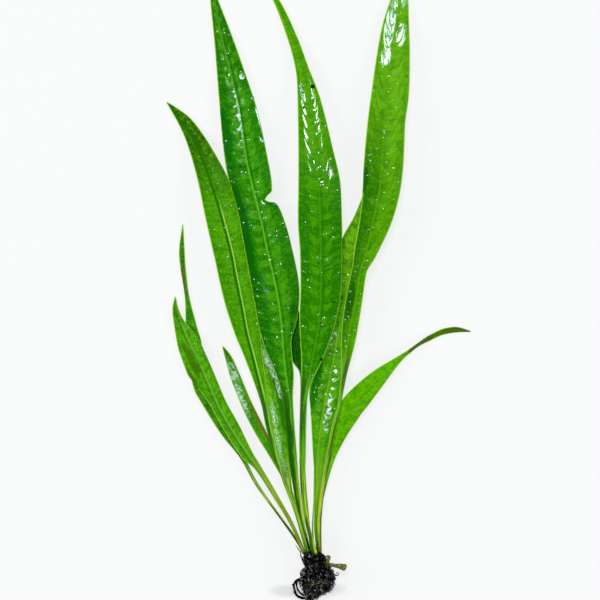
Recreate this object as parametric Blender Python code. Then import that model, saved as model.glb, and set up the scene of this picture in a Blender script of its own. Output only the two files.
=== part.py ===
"""A bare rooted java fern lying on a flat surface: fronds, rhizome and root mass.

Lengths below are millimetres. The plant lies in the XY plane with its fronds along +Y, and
the origin is the middle of the flat patch under the root mass that it rests on.
"""

import math

import bmesh
import bpy
from mathutils import Matrix, Vector, noise
from mathutils.bvhtree import BVHTree

MM = 0.001

# Driving dimensions of the fronds
BLADE_THICKNESS = 0.6
TIP_THICKNESS = 0.35
FULL_THICKNESS_AT = 1.5  # half width from which the blade has its whole thickness
STALK_RADIUS = 0.95
RIB_RADIUS = 0.75  # of the midrib at the tip end of the blade
RIB_TOP = 0.45  # how much of the midrib's radius stands out on the upper face
BLADE_FROM, BLADE_AT = 1.1, 3.5  # half widths between which a stalk turns into a blade
RING_SPACING = 12.5
WAVE_LENGTH = 38.0

# Driving dimensions of the crown
CROWN_CENTRE = (-0.6, 7.8, 6.9)
CROWN_RADII = (5.4, 4.9, 5.1)
CROWN_POWER = 3.5  # 2 is an ellipsoid, and more is squarer
CROWN_BUMPS = 0.3
CROWN_GAP = 0.42  # from the rhizome to the roots round it and to the stalks
KNOB_BASE, KNOB_TIP = (4.6, 7.4, 8.2), (6.6, 12.4, 8.8)
KNOB_RADIUS = 1.5
STUB_PATH = ((3.0, 8.4, 8.6), (8.6, 8.3, 8.9), (12.2, 7.4, 8.9), (15.8, 6.5, 8.6))
STUB_RADIUS = 1.2
ROOT_LUMPS = (
    # centre, radii of the lumps that make up the root mass
    ((2.3, -0.1, 6.0), (7.2, 6.4, 7.0)),
    ((-0.8, -0.4, 4.2), (5.2, 5.0, 5.2)),
    ((-3.6, 2.6, 6.2), (4.2, 4.0, 5.2)),
    ((-2.0, -5.9, 4.4), (3.4, 3.3, 4.6)),
    ((4.8, 3.6, 6.4), (4.4, 4.0, 5.6)),
)
LUMP_HEIGHT = 0.9
LUMP_SIZE = 4.0

# The thick roots that are fused with the mass: radius, then the points of the path
ROOT_STRANDS = {
    "loop_outer": (0.75, (
        (-4.0, 2.4, 6.0), (-7.6, 0.9, 5.4), (-10.8, -2.0, 3.6), (-10.4, -4.2, 2.2),
        (-9.2, -7.3, 1.4), (-6.5, -9.0, 1.6), (-3.0, -8.2, 3.0),
    )),
    "loop_inner": (0.6, (
        (-4.4, 1.2, 7.2), (-8.2, -0.8, 6.0), (-8.8, -3.4, 4.4), (-7.6, -6.4, 2.9), (-3.4, -7.0, 3.4),
    )),
    "shoulder": (0.7, (
        (-3.0, 6.4, 8.0), (-6.6, 5.0, 8.2), (-7.3, 2.4, 7.6), (-4.8, 0.4, 7.4),
    )),
    "tail": (0.9, (
        (-2.8, -4.0, 6.0), (-3.6, -8.2, 4.6), (-3.4, -12.0, 2.6),
    )),
    "curl": (0.4, (
        (7.4, 3.2, 6.4), (10.0, 3.1, 6.8), (11.1, 4.3, 7.0), (12.0, 3.6, 6.6), (11.2, 2.8, 6.3),
    )),
    "spur": (0.5, (
        (7.6, 1.4, 6.0), (9.9, 0.6, 5.2), (10.1, -2.0, 4.2),
    )),
    "front": (0.7, (
        (1.0, 3.4, 11.6), (-2.4, 1.2, 11.4), (-3.6, -2.8, 9.6), (-2.4, -7.2, 7.4),
    )),
}

# One row for each station of a frond, from the base of its stalk to its tip:
# x, y, z of the midrib, half width of the blade on its left and on its right.
# "cup" tilts the two halves of the blade up from the midrib, in degrees, left and right.
# "wave" is the height of the waves along its margins and where along them they start.
FRONDS = {
    "frond_tall_left": {
        "cup": (7, 6), "wave": (0.6, 0.2), "colour": (0.045, 0.20, 0.012),
        "stations": (
            (-2.8, 13.2, 8.2, 0.95, 1.05),
            (-6.5, 30.0, 8.1, 1.1, 1.2),
            (-9.0, 47.5, 7.9, 2.1, 1.3),
            (-10.5, 65.0, 7.8, 3.0, 1.3),
            (-12.75, 90.0, 7.6, 3.3, 1.75),
            (-14.85, 105.0, 7.5, 5.4, 4.2),
            (-16.0, 117.5, 7.4, 9.5, 4.2),
            (-17.0, 130.0, 7.3, 11.7, 8.4),
            (-19.25, 145.0, 7.2, 12.2, 11.7),
            (-24.1, 166.0, 6.4, 11.1, 12.4),
            (-26.75, 179.0, 5.7, 11.3, 11.2),
            (-28.7, 186.6, 5.3, 11.1, 9.1),
            (-29.1, 188.8, 5.2, 11.0, 4.2),
            (-30.0, 191.6, 5.0, 10.9, 8.9),
            (-34.25, 210.0, 4.1, 10.8, 10.7),
            (-38.0, 234.0, 3.0, 9.5, 9.2),
            (-42.5, 255.0, 1.5, 6.8, 6.8),
            (-47.0, 272.5, 0.5, 3.7, 5.2),
            (-50.25, 290.0, 0.2, 2.2, 1.8),
            (-52.75, 300.0, 0.2, 0.25, 0.25),
        ),
    },
    "frond_tall_centre": {
        "cup": (6, 6), "wave": (0.6, 0.5), "colour": (0.06, 0.25, 0.012),
        "stations": (
            (0.6, 13.2, 11.2, 1.2, 1.1),
            (-3.75, 29.5, 11.7, 1.2, 0.85),
            (-5.65, 45.0, 12.1, 1.5, 0.9),
            (-6.1, 66.5, 12.4, 1.75, 1.6),
            (-5.25, 90.0, 12.6, 2.2, 1.45),
            (-4.1, 97.5, 12.7, 3.1, 1.6),
            (-1.6, 109.0, 12.8, 5.4, 4.4),
            (0.0, 117.5, 12.9, 7.5, 6.5),
            (2.0, 130.0, 12.9, 10.0, 8.5),
            (3.0, 145.0, 12.9, 10.4, 10.2),
            (3.0, 165.0, 12.7, 10.7, 10.7),
            (2.6, 177.5, 12.3, 11.2, 11.1),
            (2.0, 195.0, 11.4, 10.5, 11.1),
            (0.25, 215.0, 9.6, 8.7, 8.7),
            (-2.75, 240.0, 6.4, 6.1, 5.5),
            (-6.25, 255.0, 4.3, 3.5, 3.3),
            (-11.0, 270.0, 2.4, 2.5, 2.6),
            (-19.75, 290.0, 0.6, 1.3, 1.7),
            (-26.5, 298.5, 0.2, 0.25, 0.25),
        ),
    },
    "frond_tall_right": {
        "cup": (-14, 5), "wave": (0.5, 0.1), "colour": (0.12, 0.36, 0.015),
        "stations": (
            (2.5, 13.2, 8.2, 0.9, 0.9),
            (1.95, 27.0, 8.5, 0.9, 1.2),
            (2.8, 38.5, 8.9, 0.9, 1.1),
            (5.9, 60.0, 9.7, 0.9, 0.9),
            (8.75, 73.0, 10.2, 0.9, 0.9),
            (11.75, 86.0, 10.6, 0.85, 0.85),
            (14.0, 102.0, 11.0, 1.3, 1.6),
            (17.0, 124.0, 11.3, 4.0, 4.0),
            (20.0, 138.5, 11.4, 5.2, 3.4),
            (22.5, 154.0, 11.4, 4.6, 3.2),
            (25.0, 162.5, 11.4, 6.0, 5.3),
            (29.0, 180.0, 11.1, 7.0, 9.2),
            (32.0, 195.0, 10.6, 8.5, 10.4),
            (33.2, 209.0, 10.0, 9.1, 10.9),
            (34.5, 230.0, 8.6, 8.3, 10.6),
            (35.75, 240.0, 7.8, 8.2, 10.8),
            (38.0, 263.5, 5.2, 7.0, 9.4),
            (40.0, 277.5, 3.4, 6.2, 7.1),
            (42.25, 290.0, 1.8, 4.5, 4.5),
            (43.4, 301.0, 0.7, 2.5, 2.5),
            (44.5, 311.0, 0.2, 0.25, 0.25),
        ),
    },
    "frond_back_right": {
        "cup": (5, 4), "wave": (0.4, 0.3), "colour": (0.05, 0.24, 0.012),
        "stations": (
            (1.8, 13.2, 4.3, 0.9, 0.9),
            (1.3, 27.0, 4.1, 1.8, 0.9),
            (1.0, 42.0, 4.1, 1.2, 1.5),
            (1.0, 55.0, 4.0, 1.5, 3.3),
            (1.5, 65.0, 3.8, 2.75, 4.5),
            (4.25, 85.0, 3.5, 6.7, 6.75),
            (6.0, 94.0, 3.4, 9.0, 7.0),
            (8.75, 107.5, 3.2, 7.75, 7.25),
            (14.75, 140.0, 2.7, 7.75, 7.25),
            (17.0, 155.0, 2.2, 7.4, 6.4),
            (19.5, 170.0, 1.6, 5.9, 5.4),
            (22.0, 181.0, 1.0, 2.6, 3.0),
            (25.5, 196.0, 0.3, 0.25, 0.25),
        ),
    },
    "frond_left": {
        "cup": (-5, -4), "wave": (0.5, 0.6), "colour": (0.05, 0.26, 0.01),
        "stations": (
            (-3.2, 13.2, 10.8, 0.9, 0.9),
            (-6.3, 23.5, 10.9, 0.9, 0.9),
            (-9.9, 36.0, 11.0, 0.95, 0.95),
            (-15.15, 50.0, 11.1, 1.0, 1.0),
            (-19.15, 63.5, 11.3, 1.3, 0.9),
            (-22.0, 76.0, 11.4, 2.2, 1.0),
            (-24.75, 90.0, 11.5, 2.5, 1.7),
            (-30.25, 112.5, 11.5, 5.0, 4.1),
            (-33.25, 124.0, 11.4, 6.7, 6.1),
            (-35.75, 137.5, 11.2, 8.7, 6.1),
            (-38.5, 151.0, 10.9, 9.3, 6.2),
            (-41.0, 164.0, 10.9, 9.6, 6.5),
            (-47.0, 186.5, 9.8, 8.7, 8.0),
            (-51.0, 199.0, 8.2, 7.3, 7.9),
            (-55.0, 210.5, 5.9, 6.3, 5.9),
            (-60.0, 221.0, 2.9, 4.8, 4.5),
            (-65.5, 229.0, 1.5, 3.0, 3.7),
            (-70.5, 235.0, 0.5, 1.5, 1.8),
            (-74.25, 239.0, 0.2, 0.25, 0.25),
        ),
    },
    "frond_low_left": {
        "cup": (4, 4), "wave": (0.2, 0.0), "colour": (0.04, 0.20, 0.012),
        "stations": (
            (-3.6, 13.2, 5.3, 0.8, 0.8),
            (-5.6, 20.0, 5.2, 0.8, 0.8),
            (-8.75, 32.0, 5.0, 0.85, 0.85),
            (-12.25, 45.0, 4.7, 1.0, 1.0),
            (-14.25, 55.0, 4.4, 2.0, 2.3),
            (-16.75, 65.0, 4.2, 3.2, 4.0),
            (-20.75, 90.0, 3.6, 3.75, 5.0),
            (-22.5, 100.0, 3.2, 3.6, 4.6),
            (-25.5, 115.0, 2.2, 2.5, 2.5),
            (-28.0, 125.0, 1.4, 0.25, 0.25),
        ),
    },
    "frond_far_left_front": {
        "cup": (-16, 3), "wave": (0.3, 0.4), "colour": (0.06, 0.26, 0.012),
        "stations": (
            (-5.0, 13.6, 7.0, 0.85, 0.85),
            (-11.7, 28.0, 6.9, 0.8, 1.2),
            (-19.9, 42.5, 6.6, 1.2, 1.4),
            (-29.0, 57.0, 6.2, 1.6, 1.9),
            (-33.0, 62.5, 6.0, 3.4, 2.5),
            (-41.5, 75.5, 5.6, 3.6, 4.4),
            (-48.0, 87.0, 5.2, 3.6, 4.5),
            (-53.25, 98.75, 4.8, 6.3, 4.7),
            (-56.75, 106.75, 4.5, 8.4, 4.8),
            (-59.65, 113.0, 4.2, 7.9, 4.9),
            (-62.85, 119.5, 3.8, 6.8, 4.8),
            (-67.0, 129.5, 2.7, 3.8, 1.6),
            (-69.0, 135.5, 1.6, 2.4, 0.9),
            (-69.85, 141.8, 0.3, 0.25, 0.25),
        ),
    },
    "frond_far_left_back": {
        "cup": (2, 2), "wave": (0.1, 0.0), "colour": (0.03, 0.13, 0.012),
        "stations": (
            (-5.4, 13.6, 3.7, 0.6, 0.6),
            (-9.4, 20.4, 3.9, 0.65, 0.65),
            (-20.3, 35.7, 3.2, 0.65, 0.65),
            (-29.1, 47.7, 2.6, 0.7, 1.0),
            (-36.5, 61.5, 2.0, 1.05, 1.0),
            (-45.0, 74.0, 1.7, 2.2, 2.0),
            (-54.0, 90.0, 1.5, 3.2, 3.0),
            (-57.0, 97.5, 1.5, 4.0, 3.8),
            (-61.0, 117.5, 1.4, 4.0, 4.6),
            (-62.0, 127.5, 1.3, 2.7, 2.8),
            (-64.5, 145.0, 1.1, 1.0, 1.2),
            (-66.6, 162.5, 0.8, 1.4, 1.6),
            (-66.1, 178.0, 0.3, 0.25, 0.25),
        ),
    },
    "frond_short_left": {
        "cup": (3, 3), "wave": (0.1, 0.0), "colour": (0.05, 0.20, 0.015),
        "stations": (
            (-3.2, 13.2, 3.0, 0.75, 0.75),
            (-5.7, 23.5, 2.9, 0.75, 0.75),
            (-7.1, 30.0, 2.7, 0.75, 0.75),
            (-10.9, 42.0, 2.3, 0.8, 0.8),
            (-14.6, 49.5, 2.1, 0.85, 0.85),
            (-21.1, 61.5, 1.9, 1.3, 2.1),
            (-28.3, 75.0, 1.7, 2.2, 3.3),
            (-34.5, 88.5, 1.5, 2.7, 2.8),
            (-40.0, 102.5, 1.2, 2.6, 2.4),
            (-43.5, 111.5, 0.8, 1.6, 1.7),
            (-46.25, 117.0, 0.4, 0.3, 0.3),
        ),
    },
    "frond_curved_right": {
        "cup": (5, 5), "wave": (0.3, 0.2), "colour": (0.14, 0.42, 0.015),
        "stations": (
            (2.6, 13.2, 6.2, 0.75, 0.75),
            (2.1, 32.0, 6.1, 0.75, 0.75),
            (4.5, 46.5, 5.7, 0.8, 1.1),
            (8.0, 61.5, 5.5, 2.0, 2.3),
            (12.0, 74.5, 5.6, 4.25, 4.8),
            (17.0, 85.2, 5.7, 5.8, 6.5),
            (22.0, 91.5, 5.6, 5.6, 6.4),
            (31.5, 101.0, 5.2, 4.4, 4.4),
            (39.75, 108.25, 4.4, 2.5, 1.95),
            (46.0, 113.5, 3.4, 1.1, 1.0),
            (51.5, 117.9, 2.4, 0.65, 1.1),
            (57.5, 121.4, 1.4, 1.1, 1.6),
            (64.25, 124.1, 0.6, 1.6, 1.5),
            (70.5, 125.1, 0.2, 1.5, 1.4),
            (78.0, 124.25, 0.2, 0.25, 0.25),
        ),
    },
    "frond_back_centre": {
        "cup": (3, 3), "wave": (0.2, 0.0), "colour": (0.03, 0.13, 0.012),
        "stations": (
            (-1.4, 13.2, 5.2, 0.75, 0.75),
            (-3.5, 30.0, 4.9, 0.75, 0.75),
            (-5.4, 52.0, 4.5, 0.85, 0.85),
            (-5.9, 75.0, 4.0, 0.9, 0.9),
            (-6.3, 97.0, 3.6, 1.0, 1.0),
            (-6.8, 104.5, 3.4, 1.2, 1.2),
            (-7.4, 109.0, 3.3, 3.5, 2.6),
            (-8.0, 113.0, 3.3, 4.2, 3.6),
            (-9.5, 120.0, 3.1, 4.4, 4.4),
            (-13.5, 145.0, 2.2, 3.0, 3.0),
            (-16.0, 159.0, 1.2, 0.25, 0.25),
        ),
    },
    "frond_young": {
        "cup": (0, 0), "wave": (0.0, 0.0), "colour": (0.14, 0.34, 0.03),
        "stations": (
            (-0.4, 13.2, 2.6, 0.4, 0.4),
            (-1.2, 27.0, 2.0, 0.4, 0.4),
            (-0.4, 40.0, 1.4, 0.45, 0.45),
            (1.0, 65.0, 1.1, 1.2, 1.2),
            (2.5, 78.0, 1.0, 1.2, 1.2),
            (3.5, 90.0, 0.8, 0.25, 0.25),
        ),
    },
}

LEAF_ROUGHNESS = 0.35
RHIZOME_COLOUR = (0.055, 0.05, 0.03)
ROOT_COLOUR = (0.02, 0.016, 0.014)


def clear_scene():
    for obj in list(bpy.data.objects):
        bpy.data.objects.remove(obj, do_unlink=True)


def new_collection(name):
    collection = bpy.data.collections.new(name)
    bpy.context.scene.collection.children.link(collection)
    return collection


def new_material(name, colour, roughness):
    material = bpy.data.materials.new(name)
    material.use_nodes = True
    shader = material.node_tree.nodes["Principled BSDF"]
    shader.inputs["Base Color"].default_value = (*colour, 1.0)
    shader.inputs["Roughness"].default_value = roughness
    shader.inputs["Metallic"].default_value = 0.0
    return material


def new_object(name, mesh, collection, material=None):
    obj = bpy.data.objects.new(name, mesh)
    collection.objects.link(obj)
    if material:
        mesh.materials.append(material)
    return obj


def hide_as_cutter(obj):
    obj.hide_render = True
    obj.display_type = "WIRE"


def smoothstep(value, low, high):
    t = min(max((value - low) / (high - low), 0.0), 1.0)
    return t * t * (3.0 - 2.0 * t)


def slopes(places, values, flatten):
    """Slope of a smooth curve at each of its points. With flatten, it has no overshoot."""
    last = len(values) - 1
    result = []
    for i in range(last + 1):
        before, after = max(i - 1, 0), min(i + 1, last)
        slope = (values[after] - values[before]) / (places[after] - places[before])
        if flatten and 0 < i < last:
            rising = (values[i] - values[before]) * (values[after] - values[i])
            slope = slope if rising > 0 else 0.0
        result.append(slope)
    return result


def hermite(places, values, tangents, i, t):
    span = places[i + 1] - places[i]
    near = (1 + 2 * t) * (1 - t) ** 2 * values[i] + t * (1 - t) ** 2 * span * tangents[i]
    far = t * t * (3 - 2 * t) * values[i + 1] + t * t * (t - 1) * span * tangents[i + 1]
    return near + far


def rings_along(stations):
    """Stations at most RING_SPACING apart on a smooth curve through the given ones."""
    places = [0.0]
    for one, other in zip(stations, stations[1:]):
        places.append(places[-1] + (Vector(other[:3]) - Vector(one[:3])).length)
    columns = list(zip(*stations))
    tangents = [slopes(places, column, flatten=k > 2) for k, column in enumerate(columns)]
    rings = []
    for i in range(len(stations) - 1):
        steps = math.ceil((places[i + 1] - places[i]) / RING_SPACING)
        for step in range(steps):
            t = step / steps
            row = [hermite(places, column, tangents[k], i, t) for k, column in enumerate(columns)]
            rings.append((places[i] + t * (places[i + 1] - places[i]), row))
    rings.append((places[-1], list(stations[-1])))
    return rings


def frond_section(left, right, rib):
    """Outline of a frond across its midrib: (distance to the side, height), upper face first."""
    half = min(left, right)
    blade = smoothstep(half, BLADE_FROM, BLADE_AT)
    thickness = BLADE_THICKNESS * min(half / FULL_THICKNESS_AT, 1.0)
    thickness = max(thickness, min(TIP_THICKNESS, rib))
    sides = []
    for reach, sign in ((left, -1), (right, 1)):
        inner = min(0.8 * rib, 0.55 * reach)
        sides.append([sign * reach, sign * (reach + inner) / 2, sign * inner])

    def height(side, share):
        round_part = math.sqrt(max(rib * rib - side * side, 0.0)) * share
        return max(round_part, thickness / 2)

    top_share = 1.0 + (RIB_TOP - 1.0) * blade
    across = sides[0][1:] + [0.0] + sides[1][:0:-1]
    upper = [(side, height(side, top_share)) for side in across]
    lower = [(side, -height(side, 1.0)) for side in reversed(across)]
    return [(-left, 0.0)] + upper + [(right, 0.0)] + lower


def seated(stations, crown):
    """The stations with the stalk run down to CROWN_GAP from the rhizome's surface."""
    base, above = Vector(stations[0][:3]), Vector(stations[1][:3])
    down = (base - above).normalized()
    hit, normal, _, distance = crown.ray_cast(base, down)
    if hit is None:
        return stations
    slant = math.sqrt(max(1.0 - normal.dot(down) ** 2, 0.0))
    base += down * (distance - CROWN_GAP - slant * stations[0][3])
    return ((*base, *stations[0][3:]), *stations[1:])


def frond_points(frond, crown):
    """The rings of a frond, each a list of points in millimetres."""
    rings = rings_along(seated(frond["stations"], crown))
    length = rings[-1][0]
    wave_height, wave_start = frond["wave"]
    cups = [math.radians(angle) for angle in frond["cup"]]
    result = []
    for i, (along, (x, y, z, left, right)) in enumerate(rings):
        before = Vector(rings[max(i - 1, 0)][1][:3])
        after = Vector(rings[min(i + 1, len(rings) - 1)][1][:3])
        forward = (after - before).normalized()
        side = forward.cross(Vector((0, 0, 1))).normalized()
        up = side.cross(forward)
        rib = min(STALK_RADIUS + (RIB_RADIUS - STALK_RADIUS) * along / length, left, right)
        blade = smoothstep(min(left, right), BLADE_FROM, BLADE_AT)
        ring = []
        for across, height in frond_section(left, right, rib):
            is_right = across > 0
            cup = cups[is_right] * blade
            share = abs(across) / (right if is_right else left)
            turn = math.tau * (along / WAVE_LENGTH + wave_start + 0.35 * is_right)
            lift = height + wave_height * blade * share * share * math.sin(turn)
            out = side * math.cos(cup) + up * math.sin(cup) * (1 if is_right else -1)
            ring.append(Vector((x, y, z)) + out * across + up * lift)
        # A ring that would dip below the surface lies on it.
        sunk = min(0.0, min(point.z for point in ring))
        result.append([point - Vector((0, 0, sunk)) for point in ring])
    return result


def frond_mesh(name, frond, crown):
    """A loft from the round stalk to the thin blade, closed at both ends."""
    mesh_data = bmesh.new()
    points = frond_points(frond, crown)
    rings = [[mesh_data.verts.new(point * MM) for point in ring] for ring in points]
    around = len(rings[0])
    for near, far in zip(rings, rings[1:]):
        for k in range(around):
            after = (k + 1) % around
            mesh_data.faces.new((near[k], near[after], far[after], far[k]))
    mesh_data.faces.new(reversed(rings[0]))
    mesh_data.faces.new(rings[-1])
    bmesh.ops.triangulate(mesh_data, faces=mesh_data.faces[:])
    bmesh.ops.recalc_face_normals(mesh_data, faces=mesh_data.faces[:])
    mesh = bpy.data.meshes.new(name)
    mesh_data.to_mesh(mesh)
    mesh_data.free()
    mesh.shade_smooth()
    mesh.set_sharp_from_angle(angle=math.radians(40))
    return mesh


def lump_mesh(name, centre, radii, power=2.0, bumps=0.0, grow=0.0, detail=3):
    """A lumpy ellipsoid, which a power above 2 makes squarer."""
    mesh_data = bmesh.new()
    bmesh.ops.create_icosphere(mesh_data, subdivisions=detail, radius=1.0)
    for vert in mesh_data.verts:
        unit = vert.co.normalized()
        reach = sum(abs(c) ** power for c in unit) ** (-1.0 / power)
        place = Vector([c + u * reach * (r + grow) for c, u, r in zip(centre, unit, radii)])
        bump = bumps * noise.noise(place / LUMP_SIZE)
        vert.co = (place + unit * bump) * MM
    mesh = bpy.data.meshes.new(name)
    mesh_data.to_mesh(mesh)
    mesh_data.free()
    mesh.shade_smooth()
    return mesh


def tube_mesh(name, path, radius, sides=6, steps=3):
    """A round strand on a smooth curve through the path's points, thinner towards its end."""
    curve = bpy.data.curves.new(name + "_path", "CURVE")
    curve.dimensions = "3D"
    curve.bevel_depth = radius * MM
    curve.bevel_resolution = max(sides // 2 - 2, 0)
    curve.use_fill_caps = True
    places = list(range(len(path)))
    columns = list(zip(*path))
    tangents = [slopes(places, column, flatten=False) for column in columns]
    points = []
    for i in range(len(path) - 1):
        for step in range(steps):
            t = step / steps
            points.append([hermite(places, c, tangents[k], i, t) for k, c in enumerate(columns)])
    points.append(path[-1])
    spline = curve.splines.new("POLY")
    spline.points.add(len(points) - 1)
    for i, point in enumerate(points):
        spline.points[i].co = (*(Vector(point) * MM), 1.0)
        spline.points[i].radius = 1.0 - 0.25 * i / (len(points) - 1)
    holder = bpy.data.objects.new(name + "_curve", curve)
    bpy.context.scene.collection.objects.link(holder)
    graph = bpy.context.evaluated_depsgraph_get()
    mesh = bpy.data.meshes.new_from_object(holder.evaluated_get(graph))
    bpy.data.objects.remove(holder, do_unlink=True)
    bpy.data.curves.remove(curve)
    mesh_data = bmesh.new()
    mesh_data.from_mesh(mesh)
    bmesh.ops.remove_doubles(mesh_data, verts=mesh_data.verts[:], dist=0.01 * MM)
    bmesh.ops.recalc_face_normals(mesh_data, faces=mesh_data.faces[:])
    mesh_data.to_mesh(mesh)
    mesh_data.free()
    mesh.name = name
    return mesh


def knob_mesh(name, grow=0.0):
    """The blunt growing tip that points up beside the stalks: a round cone."""
    base, tip = Vector(KNOB_BASE), Vector(KNOB_TIP)
    axis = tip - base
    middle = (base + tip) / 2
    mesh_data = bmesh.new()
    bmesh.ops.create_icosphere(mesh_data, subdivisions=2, radius=1.0)
    turn = axis.to_track_quat("Z", "Y").to_matrix().to_4x4()
    size = Vector((KNOB_RADIUS + grow, KNOB_RADIUS + grow, axis.length / 2 + 0.5 + grow))
    place = Matrix.Translation(middle) @ turn @ Matrix.Diagonal((*size, 1.0))
    bmesh.ops.transform(mesh_data, matrix=Matrix.Scale(MM, 4) @ place, verts=mesh_data.verts[:])
    mesh = bpy.data.meshes.new(name)
    mesh_data.to_mesh(mesh)
    mesh_data.free()
    return mesh


def combine(target, tool, operation):
    modifier = target.modifiers.new(tool.name, "BOOLEAN")
    modifier.operation = operation
    modifier.solver = "EXACT"
    modifier.object = tool


def make_rhizome(parts, tools):
    material = new_material("rhizome_skin", RHIZOME_COLOUR, 0.7)
    mesh = lump_mesh("rhizome", CROWN_CENTRE, CROWN_RADII, CROWN_POWER, bumps=CROWN_BUMPS)
    rhizome = new_object("rhizome", mesh, parts, material)
    knob = new_object("knob", knob_mesh("knob"), tools)
    stub = new_object("stub", tube_mesh("stub", STUB_PATH, STUB_RADIUS, sides=8), tools)
    for tool in (knob, stub):
        hide_as_cutter(tool)
        combine(rhizome, tool, "UNION")
    return rhizome


def make_root_mass(parts, tools):
    material = new_material("root_skin", ROOT_COLOUR, 0.8)
    (centre, radii), *others = ROOT_LUMPS
    mesh = lump_mesh("root_mass", centre, radii, bumps=LUMP_HEIGHT)
    root_mass = new_object("root_mass", mesh, parts, material)
    for i, (centre, radii) in enumerate(others):
        name = f"root_lump_{i}"
        lump = new_object(name, lump_mesh(name, centre, radii, bumps=LUMP_HEIGHT), tools)
        hide_as_cutter(lump)
        combine(root_mass, lump, "UNION")
    for name, (radius, path) in ROOT_STRANDS.items():
        strand = new_object("root_" + name, tube_mesh("root_" + name, path, radius), tools)
        hide_as_cutter(strand)
        combine(root_mass, strand, "UNION")

    # The pocket that the rhizome lies in, and the flat patch that the plant rests on
    clearance = CROWN_GAP + CROWN_BUMPS
    crown = lump_mesh("crown_room", CROWN_CENTRE, CROWN_RADII, CROWN_POWER, grow=clearance)
    stub = tube_mesh("stub_room", STUB_PATH, STUB_RADIUS + CROWN_GAP, sides=8)
    rooms = [("crown_room", crown), ("knob_room", knob_mesh("knob_room", CROWN_GAP)), ("stub_room", stub)]
    floor_data = bmesh.new()
    bmesh.ops.create_cube(floor_data, size=60 * MM)
    bmesh.ops.translate(floor_data, vec=(0, 0, -30 * MM), verts=floor_data.verts[:])
    floor = bpy.data.meshes.new("floor_cut")
    floor_data.to_mesh(floor)
    floor_data.free()
    rooms.append(("floor_cut", floor))
    for name, mesh in rooms:
        room = new_object(name, mesh, tools)
        hide_as_cutter(room)
        combine(root_mass, room, "DIFFERENCE")
    return root_mass


def surface_of(obj):
    """The object's surface in millimetres, for finding where a stalk meets it."""
    graph = bpy.context.evaluated_depsgraph_get()
    mesh = obj.evaluated_get(graph).to_mesh()
    points = [vert.co / MM for vert in mesh.vertices]
    faces = [tuple(polygon.vertices) for polygon in mesh.polygons]
    obj.evaluated_get(graph).to_mesh_clear()
    return BVHTree.FromPolygons(points, faces)


def main():
    clear_scene()
    parts = new_collection("java_fern")
    tools = new_collection("java_fern_cutters")
    crown = surface_of(make_rhizome(parts, tools))
    for name, frond in FRONDS.items():
        material = new_material(name + "_leaf", frond["colour"], LEAF_ROUGHNESS)
        new_object(name, frond_mesh(name, frond, crown), parts, material)
    make_root_mass(parts, tools)


main()
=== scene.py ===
# Bare rooted java fern lying on a pale table, seen straight from above.
# Sizes are in mm where nothing else is said.
import functools
import math

import bpy
from mathutils import Matrix, Vector


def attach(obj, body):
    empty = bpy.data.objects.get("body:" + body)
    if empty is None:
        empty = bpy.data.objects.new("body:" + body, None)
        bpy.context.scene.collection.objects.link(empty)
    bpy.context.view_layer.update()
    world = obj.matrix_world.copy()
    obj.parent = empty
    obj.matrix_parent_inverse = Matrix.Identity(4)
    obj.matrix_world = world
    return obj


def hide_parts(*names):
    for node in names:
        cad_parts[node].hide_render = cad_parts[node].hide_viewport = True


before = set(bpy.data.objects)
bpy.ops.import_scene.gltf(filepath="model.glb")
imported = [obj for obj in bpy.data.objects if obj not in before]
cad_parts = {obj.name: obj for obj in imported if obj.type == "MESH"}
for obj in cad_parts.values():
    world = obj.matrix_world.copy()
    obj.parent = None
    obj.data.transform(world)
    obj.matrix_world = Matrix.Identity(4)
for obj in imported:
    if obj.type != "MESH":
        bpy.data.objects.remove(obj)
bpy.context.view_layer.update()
mm = 0.001
print("frame loaded:", len(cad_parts), "nodes")


# small helpers for node trees: a Field is a socket that can stand in a sum, and each sign adds a Math node

def addNode(tree, kind, wires=None, **settings):
    made = tree.nodes.new(kind)
    for key, value in settings.items():
        setattr(made, key, value)
    for key, value in (wires or {}).items():
        if isinstance(value, Field):
            tree.links.new(value.socket, made.inputs[key])
        else:
            made.inputs[key].default_value = value
    return made


def field(tree, kind, wires=None, output=0, **settings):
    return Field(addNode(tree, kind, wires, **settings).outputs[output])


def treeOf(*values):
    return next(value.socket.id_data for value in values if isinstance(value, Field))


def calc(operation, *values):
    return field(treeOf(*values), "ShaderNodeMath", dict(enumerate(values)), operation=operation)


def sign(operation, turned=False):
    return lambda one, other: calc(operation, other, one) if turned else calc(operation, one, other)


class Field:
    __add__, __radd__ = sign("ADD"), sign("ADD", True)
    __sub__, __rsub__ = sign("SUBTRACT"), sign("SUBTRACT", True)
    __mul__, __rmul__ = sign("MULTIPLY"), sign("MULTIPLY", True)
    __truediv__, __rtruediv__ = sign("DIVIDE"), sign("DIVIDE", True)
    __pow__, __gt__, __lt__ = sign("POWER"), sign("GREATER_THAN"), sign("LESS_THAN")

    def __init__(self, socket):
        self.socket = socket

    def __abs__(self):
        return calc("ABSOLUTE", self)


def most(*values):
    return functools.reduce(lambda one, other: calc("MAXIMUM", one, other), values)


def least(one, other):
    return calc("MINIMUM", one, other)


def ramp(value, low, high, toLow=0.0, toHigh=1.0):
    wires = {"Value": value, "From Min": low, "From Max": high, "To Min": toLow, "To Max": toHigh}
    return field(treeOf(value), "ShaderNodeMapRange", wires, interpolation_type="SMOOTHSTEP")


def blend(factor, one, other):
    return field(treeOf(factor), "ShaderNodeMix", {0: factor, 2: one, 3: other})


def mix(factor, one, other):
    # blend for colours
    return field(treeOf(factor), "ShaderNodeMix", {0: factor, 6: one, 7: other}, 2, data_type="RGBA")


def split(vector):
    outputs = addNode(treeOf(vector), "ShaderNodeSeparateXYZ", {0: vector}).outputs
    return [Field(socket) for socket in outputs]


def join(*parts):
    return field(treeOf(*parts), "ShaderNodeCombineXYZ", dict(enumerate(parts)))


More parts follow.
